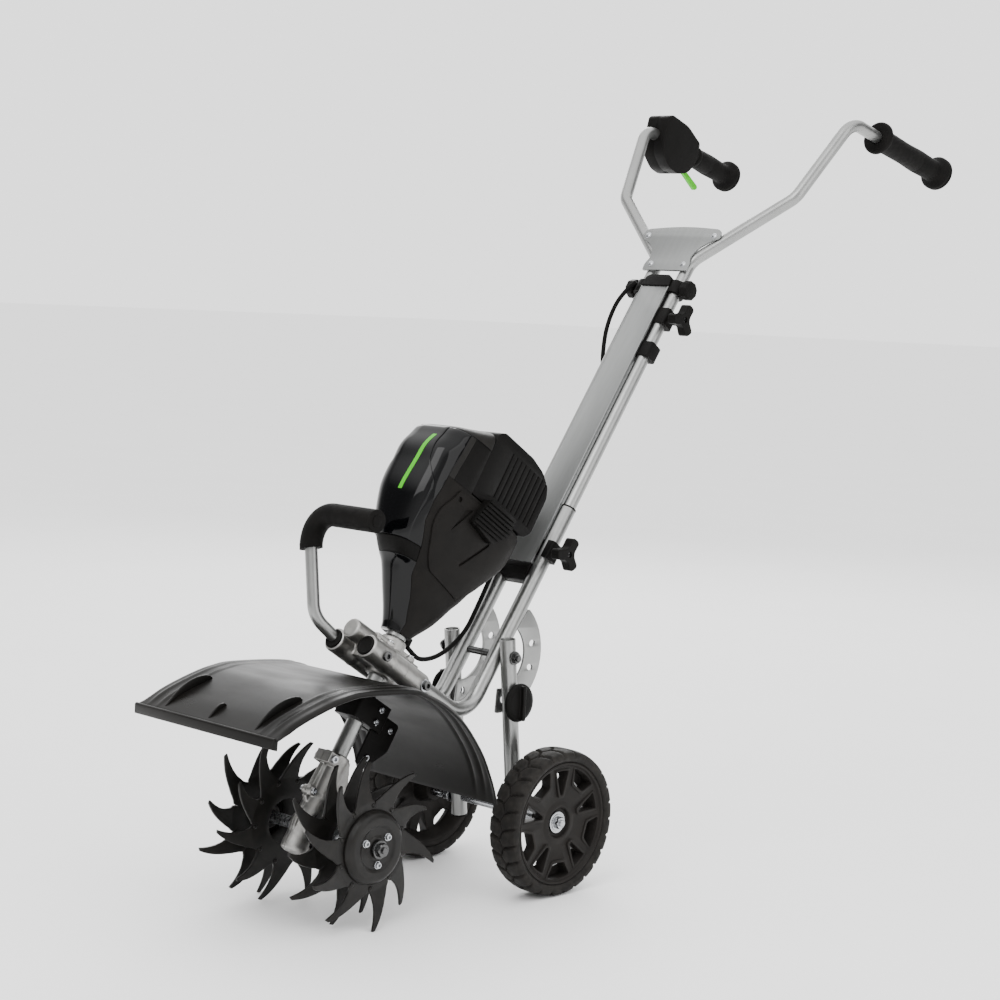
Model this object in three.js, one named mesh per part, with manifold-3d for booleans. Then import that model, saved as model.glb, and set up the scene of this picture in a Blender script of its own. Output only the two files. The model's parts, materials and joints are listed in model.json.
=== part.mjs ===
// Battery cultivator (tiller): worm-driven tines in front, a power head on a slanted drive tube,
// a two-tube handle that telescopes, and a pair of transport wheels on swinging legs.
// Millimetres, +Z up. The tines lead towards -Y, the handlebar is at +Y, +X is the machine's left.
// In the working frame Y = 0 is the wheel axle and Z = 0 the ground.

import * as THREE from "three";
import { mergeVertices } from "three/addons/utils/BufferGeometryUtils.js";
import Module from "manifold-3d";

const wasm = await Module();
wasm.setup();

// ---------------------------------------------------------------- driving dimensions

const GAP = 0.4; // play kept between touching pieces

const WHEEL_RADIUS = 100;
const WHEEL_WIDTH = 48;
const WHEEL_OUTER_X = 149; // outer face of each wheel
const AXLE = { y: 0, z: WHEEL_RADIUS, radius: 6 };

const TUBE_X = 31; // both handle tubes run at +X and -X of this
const LOWER_TUBE = { outer: 11, inner: 9.7 };
const UPPER_TUBE = { outer: 9.3, inner: 7.8 };

const HANDLE_ANGLE = 55.6; // degrees from the ground
const HANDLE_ORIGIN = new THREE.Vector3(0, 24, 389);
const PIVOT_ALONG_HANDLE = -86.8;
const LOWER_TUBE_TOP = 150;
const HANDLE_TRAVEL = 110; // the handlebar pulls out of the lower tubes by this
const HANDLE_INSERTION = 60; // length left inside them when it is right out

const DRIVE_ANGLE = 57.8; // degrees from the ground
const DRIVE_ORIGIN = new THREE.Vector3(0, -202, 326.5);
const STUB_HEIGHT = -15; // the frame tubes' front stubs, in the drive frame
const DRIVE_TUBE = { outer: 11, inner: 9, bottom: -170, top: 52 };

const LEG = { x: 54, outer: 11, inner: 9.4, above: 25, below: 26 };
const LOCK_RADIUS = 62; // pivot to the lock pin
const LOCK_STEP = 31.6; // degrees between the lock holes
const LOCK_HOLES = 4;

const TINE = { tip: 107.9, root: 58, blades: 10, plate: 3.5, bend: 9, bore: 30 };
const TINE_DISC_X = [104, 62]; // outer and inner disc on each side
const TINE_SHAFT_RADIUS = 8;

const WORM = { teeth: 20, pitch: 15, worm: 7, tooth: 1.1 };
const WORM_CENTRES = WORM.pitch + WORM.worm;
const GEAR_ALONG_DRIVE = -244.5;

const GRIP_RADIUS = 17;
const PIVOT_ROD = 5;
const LOCK_PIN = 4;
const SHAFT_RADIUS = 4;
const COLLAR = { outer: 14 };
const POWER_CABLE = 3.2;

// ---------------------------------------------------------------- materials

const paint = (color, roughness, metalness) => () =>
  new THREE.MeshStandardMaterial({ color, roughness, metalness });
const satinSilver = paint(0xb9bcbe, 0.38, 0.7);
const castAluminium = paint(0xc3c1bb, 0.5, 0.75);
const zinc = paint(0xcfd0d2, 0.3, 0.9);
const steel = paint(0x8d9094, 0.35, 0.9);
const blackTine = paint(0x1b1b1c, 0.5, 0.5);
const glossBlack = paint(0x0c0d10, 0.12, 0.0);
const mattBlack = paint(0x1e1e20, 0.6, 0.0);
const darkGrey = paint(0x2b2b2d, 0.7, 0.0);
const rubber = paint(0x161617, 0.85, 0.0);
const limeGreen = paint(0x6fd42a, 0.4, 0.0);
const copper = paint(0xb36b3a, 0.4, 0.8);
const circuitGreen = paint(0x1d5a34, 0.5, 0.1);

// ---------------------------------------------------------------- helpers

const rad = THREE.MathUtils.degToRad;
const v2 = (x, y) => new THREE.Vector2(x, y);
const v3 = (x, y, z) => new THREE.Vector3(x, y, z);

function toSolid(geometry) {
  const bare = geometry.clone();
  bare.deleteAttribute("normal");
  bare.deleteAttribute("uv");
  const merged = mergeVertices(bare, 1e-4);
  const vertProperties = Float32Array.from(merged.attributes.position.array);
  const triVerts = Uint32Array.from(merged.index.array);
  return new wasm.Manifold(new wasm.Mesh({ numProp: 3, vertProperties, triVerts }));
}

function toGeometry(solid) {
  const mesh = solid.getMesh();
  const geometry = new THREE.BufferGeometry();
  geometry.setAttribute("position", new THREE.BufferAttribute(mesh.vertProperties, 3));
  geometry.setIndex(new THREE.BufferAttribute(mesh.triVerts, 1));
  return geometry;
}

// Joins `add` to the base, then cuts `cut` away, then keeps only what lies inside `keep`.
function carve(base, { add = [], cut = [], keep = null }) {
  let solid = toSolid(base);
  for (const piece of add) solid = solid.add(toSolid(piece));
  for (const piece of cut) solid = solid.subtract(toSolid(piece));
  if (keep) solid = solid.intersect(toSolid(keep));
  return toGeometry(solid);
}

const box = (x0, x1, y0, y1, z0, z1) =>
  new THREE.BoxGeometry(x1 - x0, y1 - y0, z1 - z0)
    .translate((x0 + x1) / 2, (y0 + y1) / 2, (z0 + z1) / 2);

// Round bars and turned pieces: a lathe profile is a list of [radius, height] pairs.
const rodX = (radius, x0, x1, y = 0, z = 0, sides = 16) =>
  new THREE.CylinderGeometry(radius, radius, x1 - x0, sides)
    .rotateZ(-Math.PI / 2)
    .translate((x0 + x1) / 2, y, z);
const rodY = (radius, y0, y1, x = 0, z = 0, sides = 16) =>
  new THREE.CylinderGeometry(radius, radius, y1 - y0, sides).translate(x, (y0 + y1) / 2, z);
const rodZ = (radius, z0, z1, x = 0, y = 0, sides = 16) =>
  new THREE.CylinderGeometry(radius, radius, z1 - z0, sides)
    .rotateX(Math.PI / 2)
    .translate(x, y, (z0 + z1) / 2);
const turnedZ = (profile, sides = 24) =>
  new THREE.LatheGeometry(profile.map(([r, h]) => v2(r, h)), sides).rotateX(Math.PI / 2);
const turnedX = (profile, sides = 24) =>
  new THREE.LatheGeometry(profile.map(([r, h]) => v2(r, h)), sides).rotateZ(-Math.PI / 2);

// A closed profile for an open tube between two heights.
const tubeProfile = (outer, inner, low, high) =>
  [[inner, low], [outer, low], [outer, high], [inner, high], [inner, low]];

// Prisms: an outline in the plane across the named axis, swept between two positions on it.
const shapeOf = (outline) =>
  outline instanceof THREE.Shape ? outline : new THREE.Shape(outline.map(([a, b]) => v2(a, b)));
function prismX(outline, x0, x1, bevel = 0) {
  const geometry = new THREE.ExtrudeGeometry(shapeOf(outline), {
    depth: x1 - x0 - 2 * bevel,
    bevelEnabled: bevel > 0,
    bevelSize: bevel,
    bevelOffset: -bevel,
    bevelThickness: bevel,
    bevelSegments: 1,
    curveSegments: 8,
  });
  const basis = new THREE.Matrix4().makeBasis(v3(0, 1, 0), v3(0, 0, 1), v3(1, 0, 0));
  return geometry.applyMatrix4(basis).translate(x0 + bevel, 0, 0);
}
function prismZ(outline, z0, z1) {
  return new THREE.ExtrudeGeometry(shapeOf(outline), {
    depth: z1 - z0,
    bevelEnabled: false,
    curveSegments: 8,
  }).translate(0, 0, z0);
}
function prismY(outline, y0, y1) {
  return new THREE.ExtrudeGeometry(shapeOf(outline), {
    depth: y1 - y0,
    bevelEnabled: false,
    curveSegments: 8,
  }).rotateX(Math.PI / 2).translate(0, y1, 0);
}

// Outline of a ring sector between two radii and two angles.
function sector(inner, outer, from, to, steps, y = 0, z = 0) {
  const arc = (radius, start, end) =>
    Array.from({ length: steps + 1 }, (_, i) => {
      const angle = start + ((end - start) * i) / steps;
      return [y + radius * Math.cos(angle), z + radius * Math.sin(angle)];
    });
  return [...arc(outer, from, to), ...arc(inner, to, from)];
}

// A line through corner points with a round bend at each inner corner, sampled only where it turns.
class BentPath extends THREE.Curve {
  constructor(corners, bendRadius, bendSteps = 5) {
    super();
    this.stations = [];
    const direction = (i) => corners[i + 1].clone().sub(corners[i]).normalize();
    this.stations.push({ point: corners[0], tangent: direction(0) });
    for (let i = 1; i < corners.length - 1; i += 1) {
      const before = direction(i - 1);
      const turn = before.angleTo(direction(i));
      const axis = before.clone().cross(direction(i)).normalize();
      const start = corners[i].clone().addScaledVector(before, -bendRadius * Math.tan(turn / 2));
      const inward = axis.clone().cross(before);
      const centre = start.clone().addScaledVector(inward, bendRadius);
      for (let step = 0; step <= bendSteps; step += 1) {
        const angle = (turn * step) / bendSteps;
        const arm = start.clone().sub(centre).applyAxisAngle(axis, angle);
        const tangent = before.clone().applyAxisAngle(axis, angle);
        this.stations.push({ point: centre.clone().add(arm), tangent });
      }
    }
    const last = corners.length - 1;
    this.stations.push({ point: corners[last], tangent: direction(last - 1) });
  }
  station(t) {
    return this.stations[Math.round(t * (this.stations.length - 1))];
  }
  getPoint(t) {
    return this.station(t).point.clone();
  }
  getTangentAt(t) {
    return this.station(t).tangent.clone();
  }
  getSpacedPoints() {
    return this.stations.map(({ point }) => point.clone());
  }
}

function bentTube(corners, bendRadius, outer, inner = 0, sides = 10) {
  const path = new BentPath(corners, bendRadius);
  const section = new THREE.Shape().absarc(0, 0, outer, 0, Math.PI * 2);
  if (inner > 0) section.holes.push(new THREE.Path().absarc(0, 0, inner, 0, Math.PI * 2));
  return new THREE.ExtrudeGeometry(section, {
    steps: path.stations.length - 1,
    extrudePath: path,
    curveSegments: sides / 2,
  });
}

function cable(points, radius, steps) {
  const section = new THREE.Shape().absarc(0, 0, radius, 0, Math.PI * 2);
  return new THREE.ExtrudeGeometry(section, {
    steps,
    extrudePath: new THREE.CatmullRomCurve3(points),
    curveSegments: 4,
  });
}

function place(parent, name, geometry, material) {
  const mesh = new THREE.Mesh(geometry, material());
  mesh.name = name;
  parent.add(mesh);
  return mesh;
}

// Both sides of the machine: the name's ending and the sign of X.
const SIDES = [["left", 1], ["right", -1]];

// ---------------------------------------------------------------- frames of reference

const tiller = new THREE.Group();
const ground = new THREE.Group();
tiller.add(ground);

// Local z runs along the handle or the drive tube, local y points down and to the rear.
function slantedFrame(origin, angle) {
  const frame = new THREE.Group();
  frame.position.copy(origin);
  frame.rotation.x = rad(angle - 90);
  frame.updateMatrix();
  ground.add(frame);
  return frame;
}
const handle = slantedFrame(HANDLE_ORIGIN, HANDLE_ANGLE);
const drive = slantedFrame(DRIVE_ORIGIN, DRIVE_ANGLE);

const fromHandle = (x, y, z) => v3(x, y, z).applyMatrix4(handle.matrix);
const fromDrive = (x, y, z) => v3(x, y, z).applyMatrix4(drive.matrix);

const PIVOT = fromHandle(0, 0, PIVOT_ALONG_HANDLE);
const TINE_AXLE = fromDrive(0, WORM_CENTRES, GEAR_ALONG_DRIVE);

// Where the stub line (local y of the drive frame) meets the handle tubes' line, at one X.
function stubCorner(x) {
  const toHandle = handle.matrix.clone().invert();
  const near = fromDrive(x, 0, STUB_HEIGHT).applyMatrix4(toHandle);
  const far = fromDrive(x, 100, STUB_HEIGHT).applyMatrix4(toHandle);
  const share = near.y / (near.y - far.y);
  return near.lerp(far, share).applyMatrix4(handle.matrix);
}

// ---------------------------------------------------------------- main frame

function frameTube(side) {
  const x = TUBE_X * side;
  const corners = [fromDrive(x, -26, STUB_HEIGHT), stubCorner(x), fromHandle(x, 0, LOWER_TUBE_TOP)];
  const tube = bentTube(corners, 42, LOWER_TUBE.outer, LOWER_TUBE.inner);
  return carve(tube, { cut: [rodX(PIVOT_ROD + GAP, x - 15, x + 15, PIVOT.y, PIVOT.z, 10)] });
}

function pivotRod() {
  const reach = LEG.x + LEG.outer + 1;
  const head = rodX(9, reach, reach + 5, PIVOT.y, PIVOT.z, 6);
  return carve(rodX(PIVOT_ROD, -reach - 8, reach + 8, PIVOT.y, PIVOT.z), {
    add: [head, head.clone().rotateZ(Math.PI).translate(0, 2 * PIVOT.y, 0)],
  });
}

// The lock holes lie on an arc about the pivot, from the parked leg up to the raised one.
const LEG_DIRECTION = Math.atan2(AXLE.z - PIVOT.z, AXLE.y - PIVOT.y);
const lockHole = (i) => {
  const angle = LEG_DIRECTION + rad(LOCK_STEP * i);
  return [PIVOT.y + LOCK_RADIUS * Math.cos(angle), PIVOT.z + LOCK_RADIUS * Math.sin(angle)];
};

const QUADRANT = { inner: TUBE_X + LOWER_TUBE.outer - 4, thick: 3, below: 16, above: 18 };
function quadrantPlate(side) {
  const { inner, thick, below, above } = QUADRANT;
  const from = LEG_DIRECTION - rad(11);
  const to = rad(HANDLE_ANGLE - 6);
  const outline = sector(LOCK_RADIUS - below, LOCK_RADIUS + above, from, to, 9, PIVOT.y, PIVOT.z);
  const [x0, x1] = side > 0 ? [inner, inner + thick] : [-inner - thick, -inner];
  const holes = Array.from({ length: LOCK_HOLES }, (_, i) => lockHole(i));
  const tubeClearance = bentTube(
    [stubCorner(TUBE_X * side), fromHandle(TUBE_X * side, 0, LOWER_TUBE_TOP)],
    1, LOWER_TUBE.outer + GAP);
  return carve(prismX(outline, x0, x1), {
    cut: [...holes.map(([y, z]) => rodX(5, x0 - 5, x1 + 5, y, z, 12)), tubeClearance],
  });
}

// ---------------------------------------------------------------- clamp casting

// Two halves that clamp the drive tube between them and hold both stub tubes in their sleeves.
const SLEEVE = { radius: 17, front: -70, rear: 50 };
const BARREL = { radius: 18, low: -32, high: 26 };

const WEB = { front: -52, rear: 34, low: STUB_HEIGHT - 12, high: 10 };
const RIB = { half: 9, front: -40, rear: 38, reach: 20 };
const BOSS = { radius: 15, front: -80, height: 2 };
const FOOT = { x0: -40, x1: 22, front: -64, rear: -30, low: -38, high: -6 };
function castingBody() {
  const bore = LOWER_TUBE.outer + 2 * GAP;
  const sleeves = SIDES.map(([, side]) =>
    rodY(SLEEVE.radius, SLEEVE.front, SLEEVE.rear, TUBE_X * side, STUB_HEIGHT, 14));
  const sleeveBores = SIDES.map(([, side]) =>
    rodY(bore, -27, 90, TUBE_X * side, STUB_HEIGHT, 14));
  return carve(box(-TUBE_X, TUBE_X, WEB.front, WEB.rear, WEB.low, WEB.high), {
    add: [
      ...sleeves,
      rodZ(BARREL.radius, BARREL.low, BARREL.high, 0, 0, 16),
      box(-RIB.half, RIB.half, RIB.front, RIB.rear, -RIB.reach, RIB.reach),
      rodY(BOSS.radius, BOSS.front, RIB.front, 0, BOSS.height, 12),
      box(FOOT.x0, FOOT.x1, FOOT.front, FOOT.rear, FOOT.low, FOOT.high),
    ],
    cut: [
      rodZ(DRIVE_TUBE.outer + GAP, -60, 60, 0, 0, 24),
      ...sleeveBores,
      ...carryHandleBores(),
    ],
  });
}

function castingHalf(rear) {
  const seam = 2;
  const [y0, y1] = rear ? [seam + GAP / 2, 120] : [-140, seam - GAP / 2];
  return carve(castingBody(), { keep: box(-90, 90, y0, y1, -90, 90) });
}

// ---------------------------------------------------------------- carry handle

const CARRY = { tube: 8.5, grip: 15.5, bend: 40, x0: -79, x1: 50, y: -277, z: 514 };
const carryCorners = () => [
  fromDrive(-23, -39, -20),
  v3(-50, -288, 379),
  v3(CARRY.x0, CARRY.y, CARRY.z),
  v3(CARRY.x1 - 4, CARRY.y, CARRY.z),
];

function carryHandleBores() {
  const [start, next] = carryCorners().map((p) => p.applyMatrix4(drive.matrix.clone().invert()));
  return [bentTube([start.clone().lerp(next, -0.03), next], 1, CARRY.tube + 2 * GAP)];
}

function carryHandleTube() {
  return bentTube(carryCorners(), CARRY.bend, CARRY.tube);
}

// The rubber follows the bar from below its upper bend to its free end, and closes over that end.
function carryGrip() {
  const [, riser, corner, end] = carryCorners();
  const start = corner.clone().lerp(riser, 0.32);
  const past = end.clone().add(v3(6, 0, 0));
  const bore = bentTube([riser, corner, end.clone().add(v3(GAP, 0, 0))], CARRY.bend, CARRY.tube + GAP);
  return carve(bentTube([start, corner, past], CARRY.bend, CARRY.grip, 0, 14), { cut: [bore] });
}

// ---------------------------------------------------------------- drive tube and gearbox

// The tube ends in a thicker collar that the power head bolts to.
function driveTube() {
  const { outer, inner, bottom, top } = DRIVE_TUBE;
  return turnedZ([
    [inner, bottom], [outer, bottom], [outer, BARREL.high + GAP], [COLLAR.outer, BARREL.high + GAP],
    [COLLAR.outer, top], [inner, top], [inner, bottom],
  ], 24);
}

const GEARBOX = { half: 24, round: 40, neck: 17, bulge: 17, wall: 4 };

function gearboxBody() {
  const y = WORM_CENTRES;
  const z = GEAR_ALONG_DRIVE;
  const flange = new THREE.Shape();
  flange.moveTo(-GEARBOX.neck - 5, -146);
  flange.lineTo(-GEARBOX.neck - 9, -215);
  flange.absarc(y, z, GEARBOX.round + 4, rad(150), rad(395), false);
  flange.lineTo(GEARBOX.neck + 5, -146);
  flange.closePath();
  const solid = carve(prismX(flange, -4, 4), {
    add: [
      rodX(GEARBOX.round, -GEARBOX.half + 6, GEARBOX.half - 6, y, z, 20),
      rodX(16, -GEARBOX.half - 8, GEARBOX.half + 8, y, z, 16),
      rodZ(GEARBOX.neck, -262, -146, 0, 0, 16),
      rodZ(GEARBOX.bulge, -278, -200, 0, 0, 16),
      box(-15, 15, -GEARBOX.neck - 8, -8, -166, -150),
      rodX(7, -15, 15, -20, -206, 10),
    ],
    cut: [
      rodX(GEARBOX.round - GEARBOX.wall, -14, 14, y, z, 16),
      rodX(TINE_SHAFT_RADIUS + GAP, -40, 40, y, z, 20),
      rodZ(DRIVE_TUBE.outer + GAP, DRIVE_TUBE.bottom - 1, -140, 0, 0, 20),
      rodZ(11, -268, -160, 0, 0, 12),
    ],
  });
  return solid;
}

function gearboxHalf(side) {
  const [x0, x1] = side > 0 ? [GAP / 2, 60] : [-60, -GAP / 2];
  return carve(gearboxBody(), { keep: box(x0, x1, -90, 120, -330, -100) });
}

// The thread is raised on a turned blank: every vertex moves out by where it lies on the helix.
function wormShaft() {
  const lead = (2 * Math.PI * WORM.pitch) / WORM.teeth;
  const turns = 4;
  const stepsPerTurn = 6;
  const start = GEAR_ALONG_DRIVE - (turns * lead) / 2;
  const root = WORM.worm - WORM.tooth - 0.3;
  const top = MOTOR.high + 8;
  const profile = [[0, -266], [SHAFT_RADIUS, -266], [SHAFT_RADIUS, start]];
  for (let i = 0; i <= turns * stepsPerTurn; i += 1) {
    profile.push([root, start + (i * lead) / stepsPerTurn]);
  }
  profile.push([SHAFT_RADIUS, start + turns * lead], [SHAFT_RADIUS, top], [0, top]);
  const geometry = turnedZ(profile, 12);
  const position = geometry.attributes.position;
  for (let i = 0; i < position.count; i += 1) {
    const [x, y, z] = [position.getX(i), position.getY(i), position.getZ(i)];
    const radius = Math.hypot(x, y);
    const threaded = radius > SHAFT_RADIUS + 0.5 && z > start + 0.1 && z < start + turns * lead - 0.1;
    if (threaded) {
      const around = Math.atan2(x, y) / (2 * Math.PI);
      const phase = THREE.MathUtils.euclideanModulo((z - GEAR_ALONG_DRIVE) / lead - around, 1);
      const crest = Math.min(phase, 1 - phase) < 0.2 ? WORM.worm + WORM.tooth : root;
      position.setXY(i, (x / radius) * crest, (y / radius) * crest);
    }
  }
  return geometry;
}

function wormWheel() {
  const outline = new THREE.Shape();
  const toothAngle = (2 * Math.PI) / WORM.teeth;
  const low = WORM.pitch - WORM.tooth - 0.3;
  const high = WORM.pitch + WORM.tooth;
  for (let tooth = 0; tooth < WORM.teeth; tooth += 1) {
    // A gap faces the worm, which lies towards -y.
    const centre = Math.PI + toothAngle * (tooth + 0.5);
    const points = [[low, -0.27], [high, -0.14], [high, 0.14], [low, 0.27]];
    points.forEach(([radius, share], i) => {
      const angle = centre + toothAngle * share;
      const [y, z] = [radius * Math.cos(angle), radius * Math.sin(angle)];
      if (tooth === 0 && i === 0) outline.moveTo(y, z);
      else outline.lineTo(y, z);
    });
  }
  outline.closePath();
  return carve(prismX(outline, -3, 3), {
    add: [rodX(12, -8, 8, 0, 0, 24)],
    cut: [rodX(TINE_SHAFT_RADIUS + 0.3, -20, 20, 0, 0, 24)],
  });
}

function tineShaft() {
  const outer = TINE_DISC_X[0] + 16;
  return rodX(TINE_SHAFT_RADIUS, -outer, outer, 0, 0, 20);
}

// ---------------------------------------------------------------- tines

// Along each blade: radius, sweep of its middle and its width, both as shares of the blade pitch.
const BLADE = [
  [TINE.root, 0, 0.96], [61, -0.02, 0.76], [64, -0.04, 0.65], [75, -0.12, 0.4], [85, -0.2, 0.27],
  [95, -0.29, 0.176], [103, -0.37, 0.108], [TINE.tip, -0.42, 0.066],
];
function bladeSweep(radius) {
  const next = BLADE.findIndex(([r]) => r >= radius - 0.01);
  if (next < 1) return 0;
  const [[r0, sweep0], [r1, sweep1]] = BLADE.slice(next - 1, next + 1);
  return sweep0 + ((sweep1 - sweep0) * (radius - r0)) / (r1 - r0);
}

// One disc: ten swept blades, each bent sideways, alternate blades to alternate sides.
function tineDisc(outward) {
  const pitch = (2 * Math.PI) / TINE.blades;
  const up = BLADE.map(([radius, sweep, width]) => [radius, sweep - width / 2]);
  const down = BLADE.map(([radius, sweep, width]) => [radius, sweep + width / 2]).reverse();
  // One tip of the disc points straight down.
  const firstBlade = -Math.PI / 2 - BLADE.at(-1)[1] * pitch;
  const points = [];
  for (let blade = 0; blade < TINE.blades; blade += 1) {
    for (const [radius, share] of [...up, ...down]) {
      const angle = firstBlade + (blade + share) * pitch;
      points.push([radius * Math.cos(angle), radius * Math.sin(angle)]);
    }
  }
  const outline = shapeOf(points);
  outline.holes.push(new THREE.Path().absarc(0, 0, TINE.bore, 0, Math.PI * 2, true));
  const plate = prismX(outline, -TINE.plate / 2, TINE.plate / 2);
  const position = plate.attributes.position;
  for (let i = 0; i < position.count; i += 1) {
    const [y, z] = [position.getY(i), position.getZ(i)];
    const radius = Math.hypot(y, z);
    const reach = Math.max(0, (radius - TINE.root) / (TINE.tip - TINE.root));
    const turn = (Math.atan2(z, y) - firstBlade) / pitch;
    const blade = Math.round(turn - bladeSweep(radius));
    const bend = (blade % 2 === 0 ? 1 : -1) * TINE.bend * reach;
    position.setX(i, position.getX(i) + bend * outward);
  }
  return plate;
}

// A pressed dish carries the disc on the shaft; it bulges away from the gearbox.
function tineHub(disc, outward) {
  const profile = [
    [TINE_SHAFT_RADIUS + 0.3, -16], [16, -16], [16, 2], [29.6, 2], [29.6, -2], [46, -2],
    [46, 1], [40, 7], [24, 9], [TINE_SHAFT_RADIUS + 0.3, 9], [TINE_SHAFT_RADIUS + 0.3, -16],
  ];
  const lift = TINE.plate / 2 + 2 + GAP;
  const geometry = turnedX(profile.map(([r, h]) => [r, h + lift]), 20);
  if (outward < 0) geometry.rotateZ(Math.PI);
  return geometry.translate(disc, 0, 0);
}

// ---------------------------------------------------------------- fender

// Arc about the tine axle at the rear, then an almost straight run out to the front lip.
const FENDER = { half: 137, thick: 3, radius: 197 };
function fenderLine() {
  const points = [];
  for (let angle = 10; angle <= 80; angle += 10) {
    const radius = FENDER.radius + Math.max(0, angle - 40) * 0.2;
    points.push([
      TINE_AXLE.y + radius * Math.cos(rad(angle)),
      TINE_AXLE.z + radius * Math.sin(rad(angle)),
    ]);
  }
  points.push([-357, 315], [-390, 312.5], [-422, 305.5], [-469, 290], [-504, 272]);
  return points;
}

// A bent sheet: the line itself and the same line moved down by the thickness.
function sheetOutline(line, thick) {
  const lower = line.map(([y, z], i) => {
    const [y0, z0] = line[Math.max(0, i - 1)];
    const [y1, z1] = line[Math.min(line.length - 1, i + 1)];
    const length = Math.hypot(y1 - y0, z1 - z0);
    return [y - (thick * (z1 - z0)) / length, z + (thick * (y1 - y0)) / length];
  });
  return [...line, ...lower.reverse()];
}

// The sheet is slotted round the drive tube and ends in a hanging front lip.
function fender() {
  const sheet = prismX(sheetOutline(fenderLine(), FENDER.thick), -FENDER.half, FENDER.half);
  const [y, z] = fenderLine().at(-1);
  const lip = [[y - 4, z - 12], [y + 3, z - 14], [y + 3, z + 3], [y - 4, z + 3]];
  return carve(sheet, {
    add: [prismX(lip, -FENDER.half, FENDER.half)],
    cut: [box(-20, 20, -16, 20, -70, 40).applyMatrix4(drive.matrix)],
  });
}

// Boxy bracket under the fender that clamps round the drive tube; its tail reaches the gearbox neck.
function fenderBracket() {
  const tail = prismX([[20, -146], [40, -146], [66, -110], [66, -70], [20, -70]], 8, 12);
  return carve(box(-21, 21, -26, 34, -98, -60), {
    add: [tail],
    cut: [rodZ(DRIVE_TUBE.outer + GAP, -120, -40, 0, 0, 24), box(-3, 3, 0, 60, -120, -40)],
  });
}

// ---------------------------------------------------------------- power head

const HEAD = { half: 58, wall: 3, step: 2 }; // the cover stands proud by the step

// The head seen from the side, in the drive frame. Parting lines split it into a glossy cover in
// front, matt shells behind and below, and a battery bay on top at the rear.
const HEAD_OUTLINE = [
  [-26, 31], [-28, 42], [-45, 69], [-63, 98], [-72, 113], [-86, 126], [-98, 143], [-107, 172],
  [-113, 205], [-113, 262], [-98, 300], [-34, 330], [30, 324], [90, 300], [90, 178], [66, 128],
  [48, 78], [30, 37], [12, 30],
];
const COVER_REGION = [
  [-200, 0], [-13, 0], [-13, 45], [-30, 75], [-48, 100], [-66, 135], [-84, 165], [-90, 193],
  [-88, 240], [-82, 290], [-66, 330], [-66, 400], [-200, 400],
];
const COVER_POCKET = [
  [-23, 20], [-25, 43], [-42, 70], [-60, 99.5], [-69, 115], [-83.5, 128.5], [-95, 145],
  [-104, 173], [-110, 206], [-110, 261], [-95.5, 297.5], [-60, 314], [-5, 314], [-5, 20],
];
const SHELL_REGION = [
  [-12.5, 0], [200, 0], [200, 231], [-88, 231], [-89.5, 193], [-83.4, 165.3], [-65.4, 135.3],
  [-47.4, 100.3], [-29.4, 75.3], [-12.5, 45.3],
];
const SHELL_POCKET = [
  [-120, 226], [84, 226], [84, 184], [62, 140], [44, 92], [26, 52], [10, 44], [-120, 44],
];
const BAY_REGION = [
  [-87.4, 232], [-40.5, 232], [-40.5, 400], [-65.4, 400], [-65.4, 330], [-81.4, 290.2],
  [-87.4, 240],
];

// Half-width of the head at each height: a narrow neck that widens to the full head.
const HEAD_TAPER = [
  [20, 0], [20, 30], [24, 60], [30, 81], [36, 104], [44, 132], [50, 150], [55, 180], [58, 205],
  [58, 400],
];
function tapered(solid, extra) {
  const left = HEAD_TAPER.map(([x, z]) => [x + extra, z]);
  const right = left.map(([x, z]) => [-x, z]).reverse();
  return carve(solid, { keep: prismY([...left, ...right], -200, 200) });
}

const headBlock = (half, chamfer) =>
  tapered(prismX(HEAD_OUTLINE, -half, half, chamfer), half - HEAD.half);
const headPocket = (outline, half) => tapered(prismX(outline, -half, half), half - HEAD.half);
const fullWidth = (outline) => prismX(outline, -100, 100);

function motorCover() {
  return carve(headBlock(HEAD.half + HEAD.step, 9), {
    cut: [
      headPocket(COVER_POCKET, HEAD.half + HEAD.step - HEAD.wall),
      rodZ(COLLAR.outer + GAP, 0, 60, 0, 0, 24),
    ],
    keep: fullWidth(COVER_REGION),
  });
}

function motorShell(side) {
  const [x0, x1] = side > 0 ? [GAP / 2, HEAD.half] : [-HEAD.half, -GAP / 2];
  return carve(headBlock(HEAD.half, 7), {
    cut: [
      headPocket(SHELL_POCKET, HEAD.half - HEAD.wall),
      rodZ(COLLAR.outer + GAP, 0, 60, 0, 0, 24),
      rodZ(POWER_CABLE + GAP, 20, 60, 0, 22, 12),
    ],
    keep: prismX(SHELL_REGION, x0, x1),
  });
}

// The left shell carries a raised vent box over the controller.
function ventedShell() {
  const vent = prismX([[-29, 197], [-18, 230], [46, 230], [44, 212], [19, 190]], HEAD.half - 2, HEAD.half + 13, 3);
  return carve(motorShell(1), { add: [vent] });
}

// The bay stands between the cover and the battery; the battery's tongue slides down its rear face.
const BATTERY = { front: -40, back: 92, low: 232.5 };
const TONGUE = { half: 30, depth: 10, low: 250 };
function batteryBay() {
  const slot = TONGUE.half + GAP;
  const slotFront = BATTERY.front - TONGUE.depth - GAP;
  return carve(headBlock(HEAD.half - 1, 6), {
    cut: [box(-slot, slot, slotFront, 60, TONGUE.low - GAP, 400)],
    keep: fullWidth(BAY_REGION),
  });
}

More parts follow.
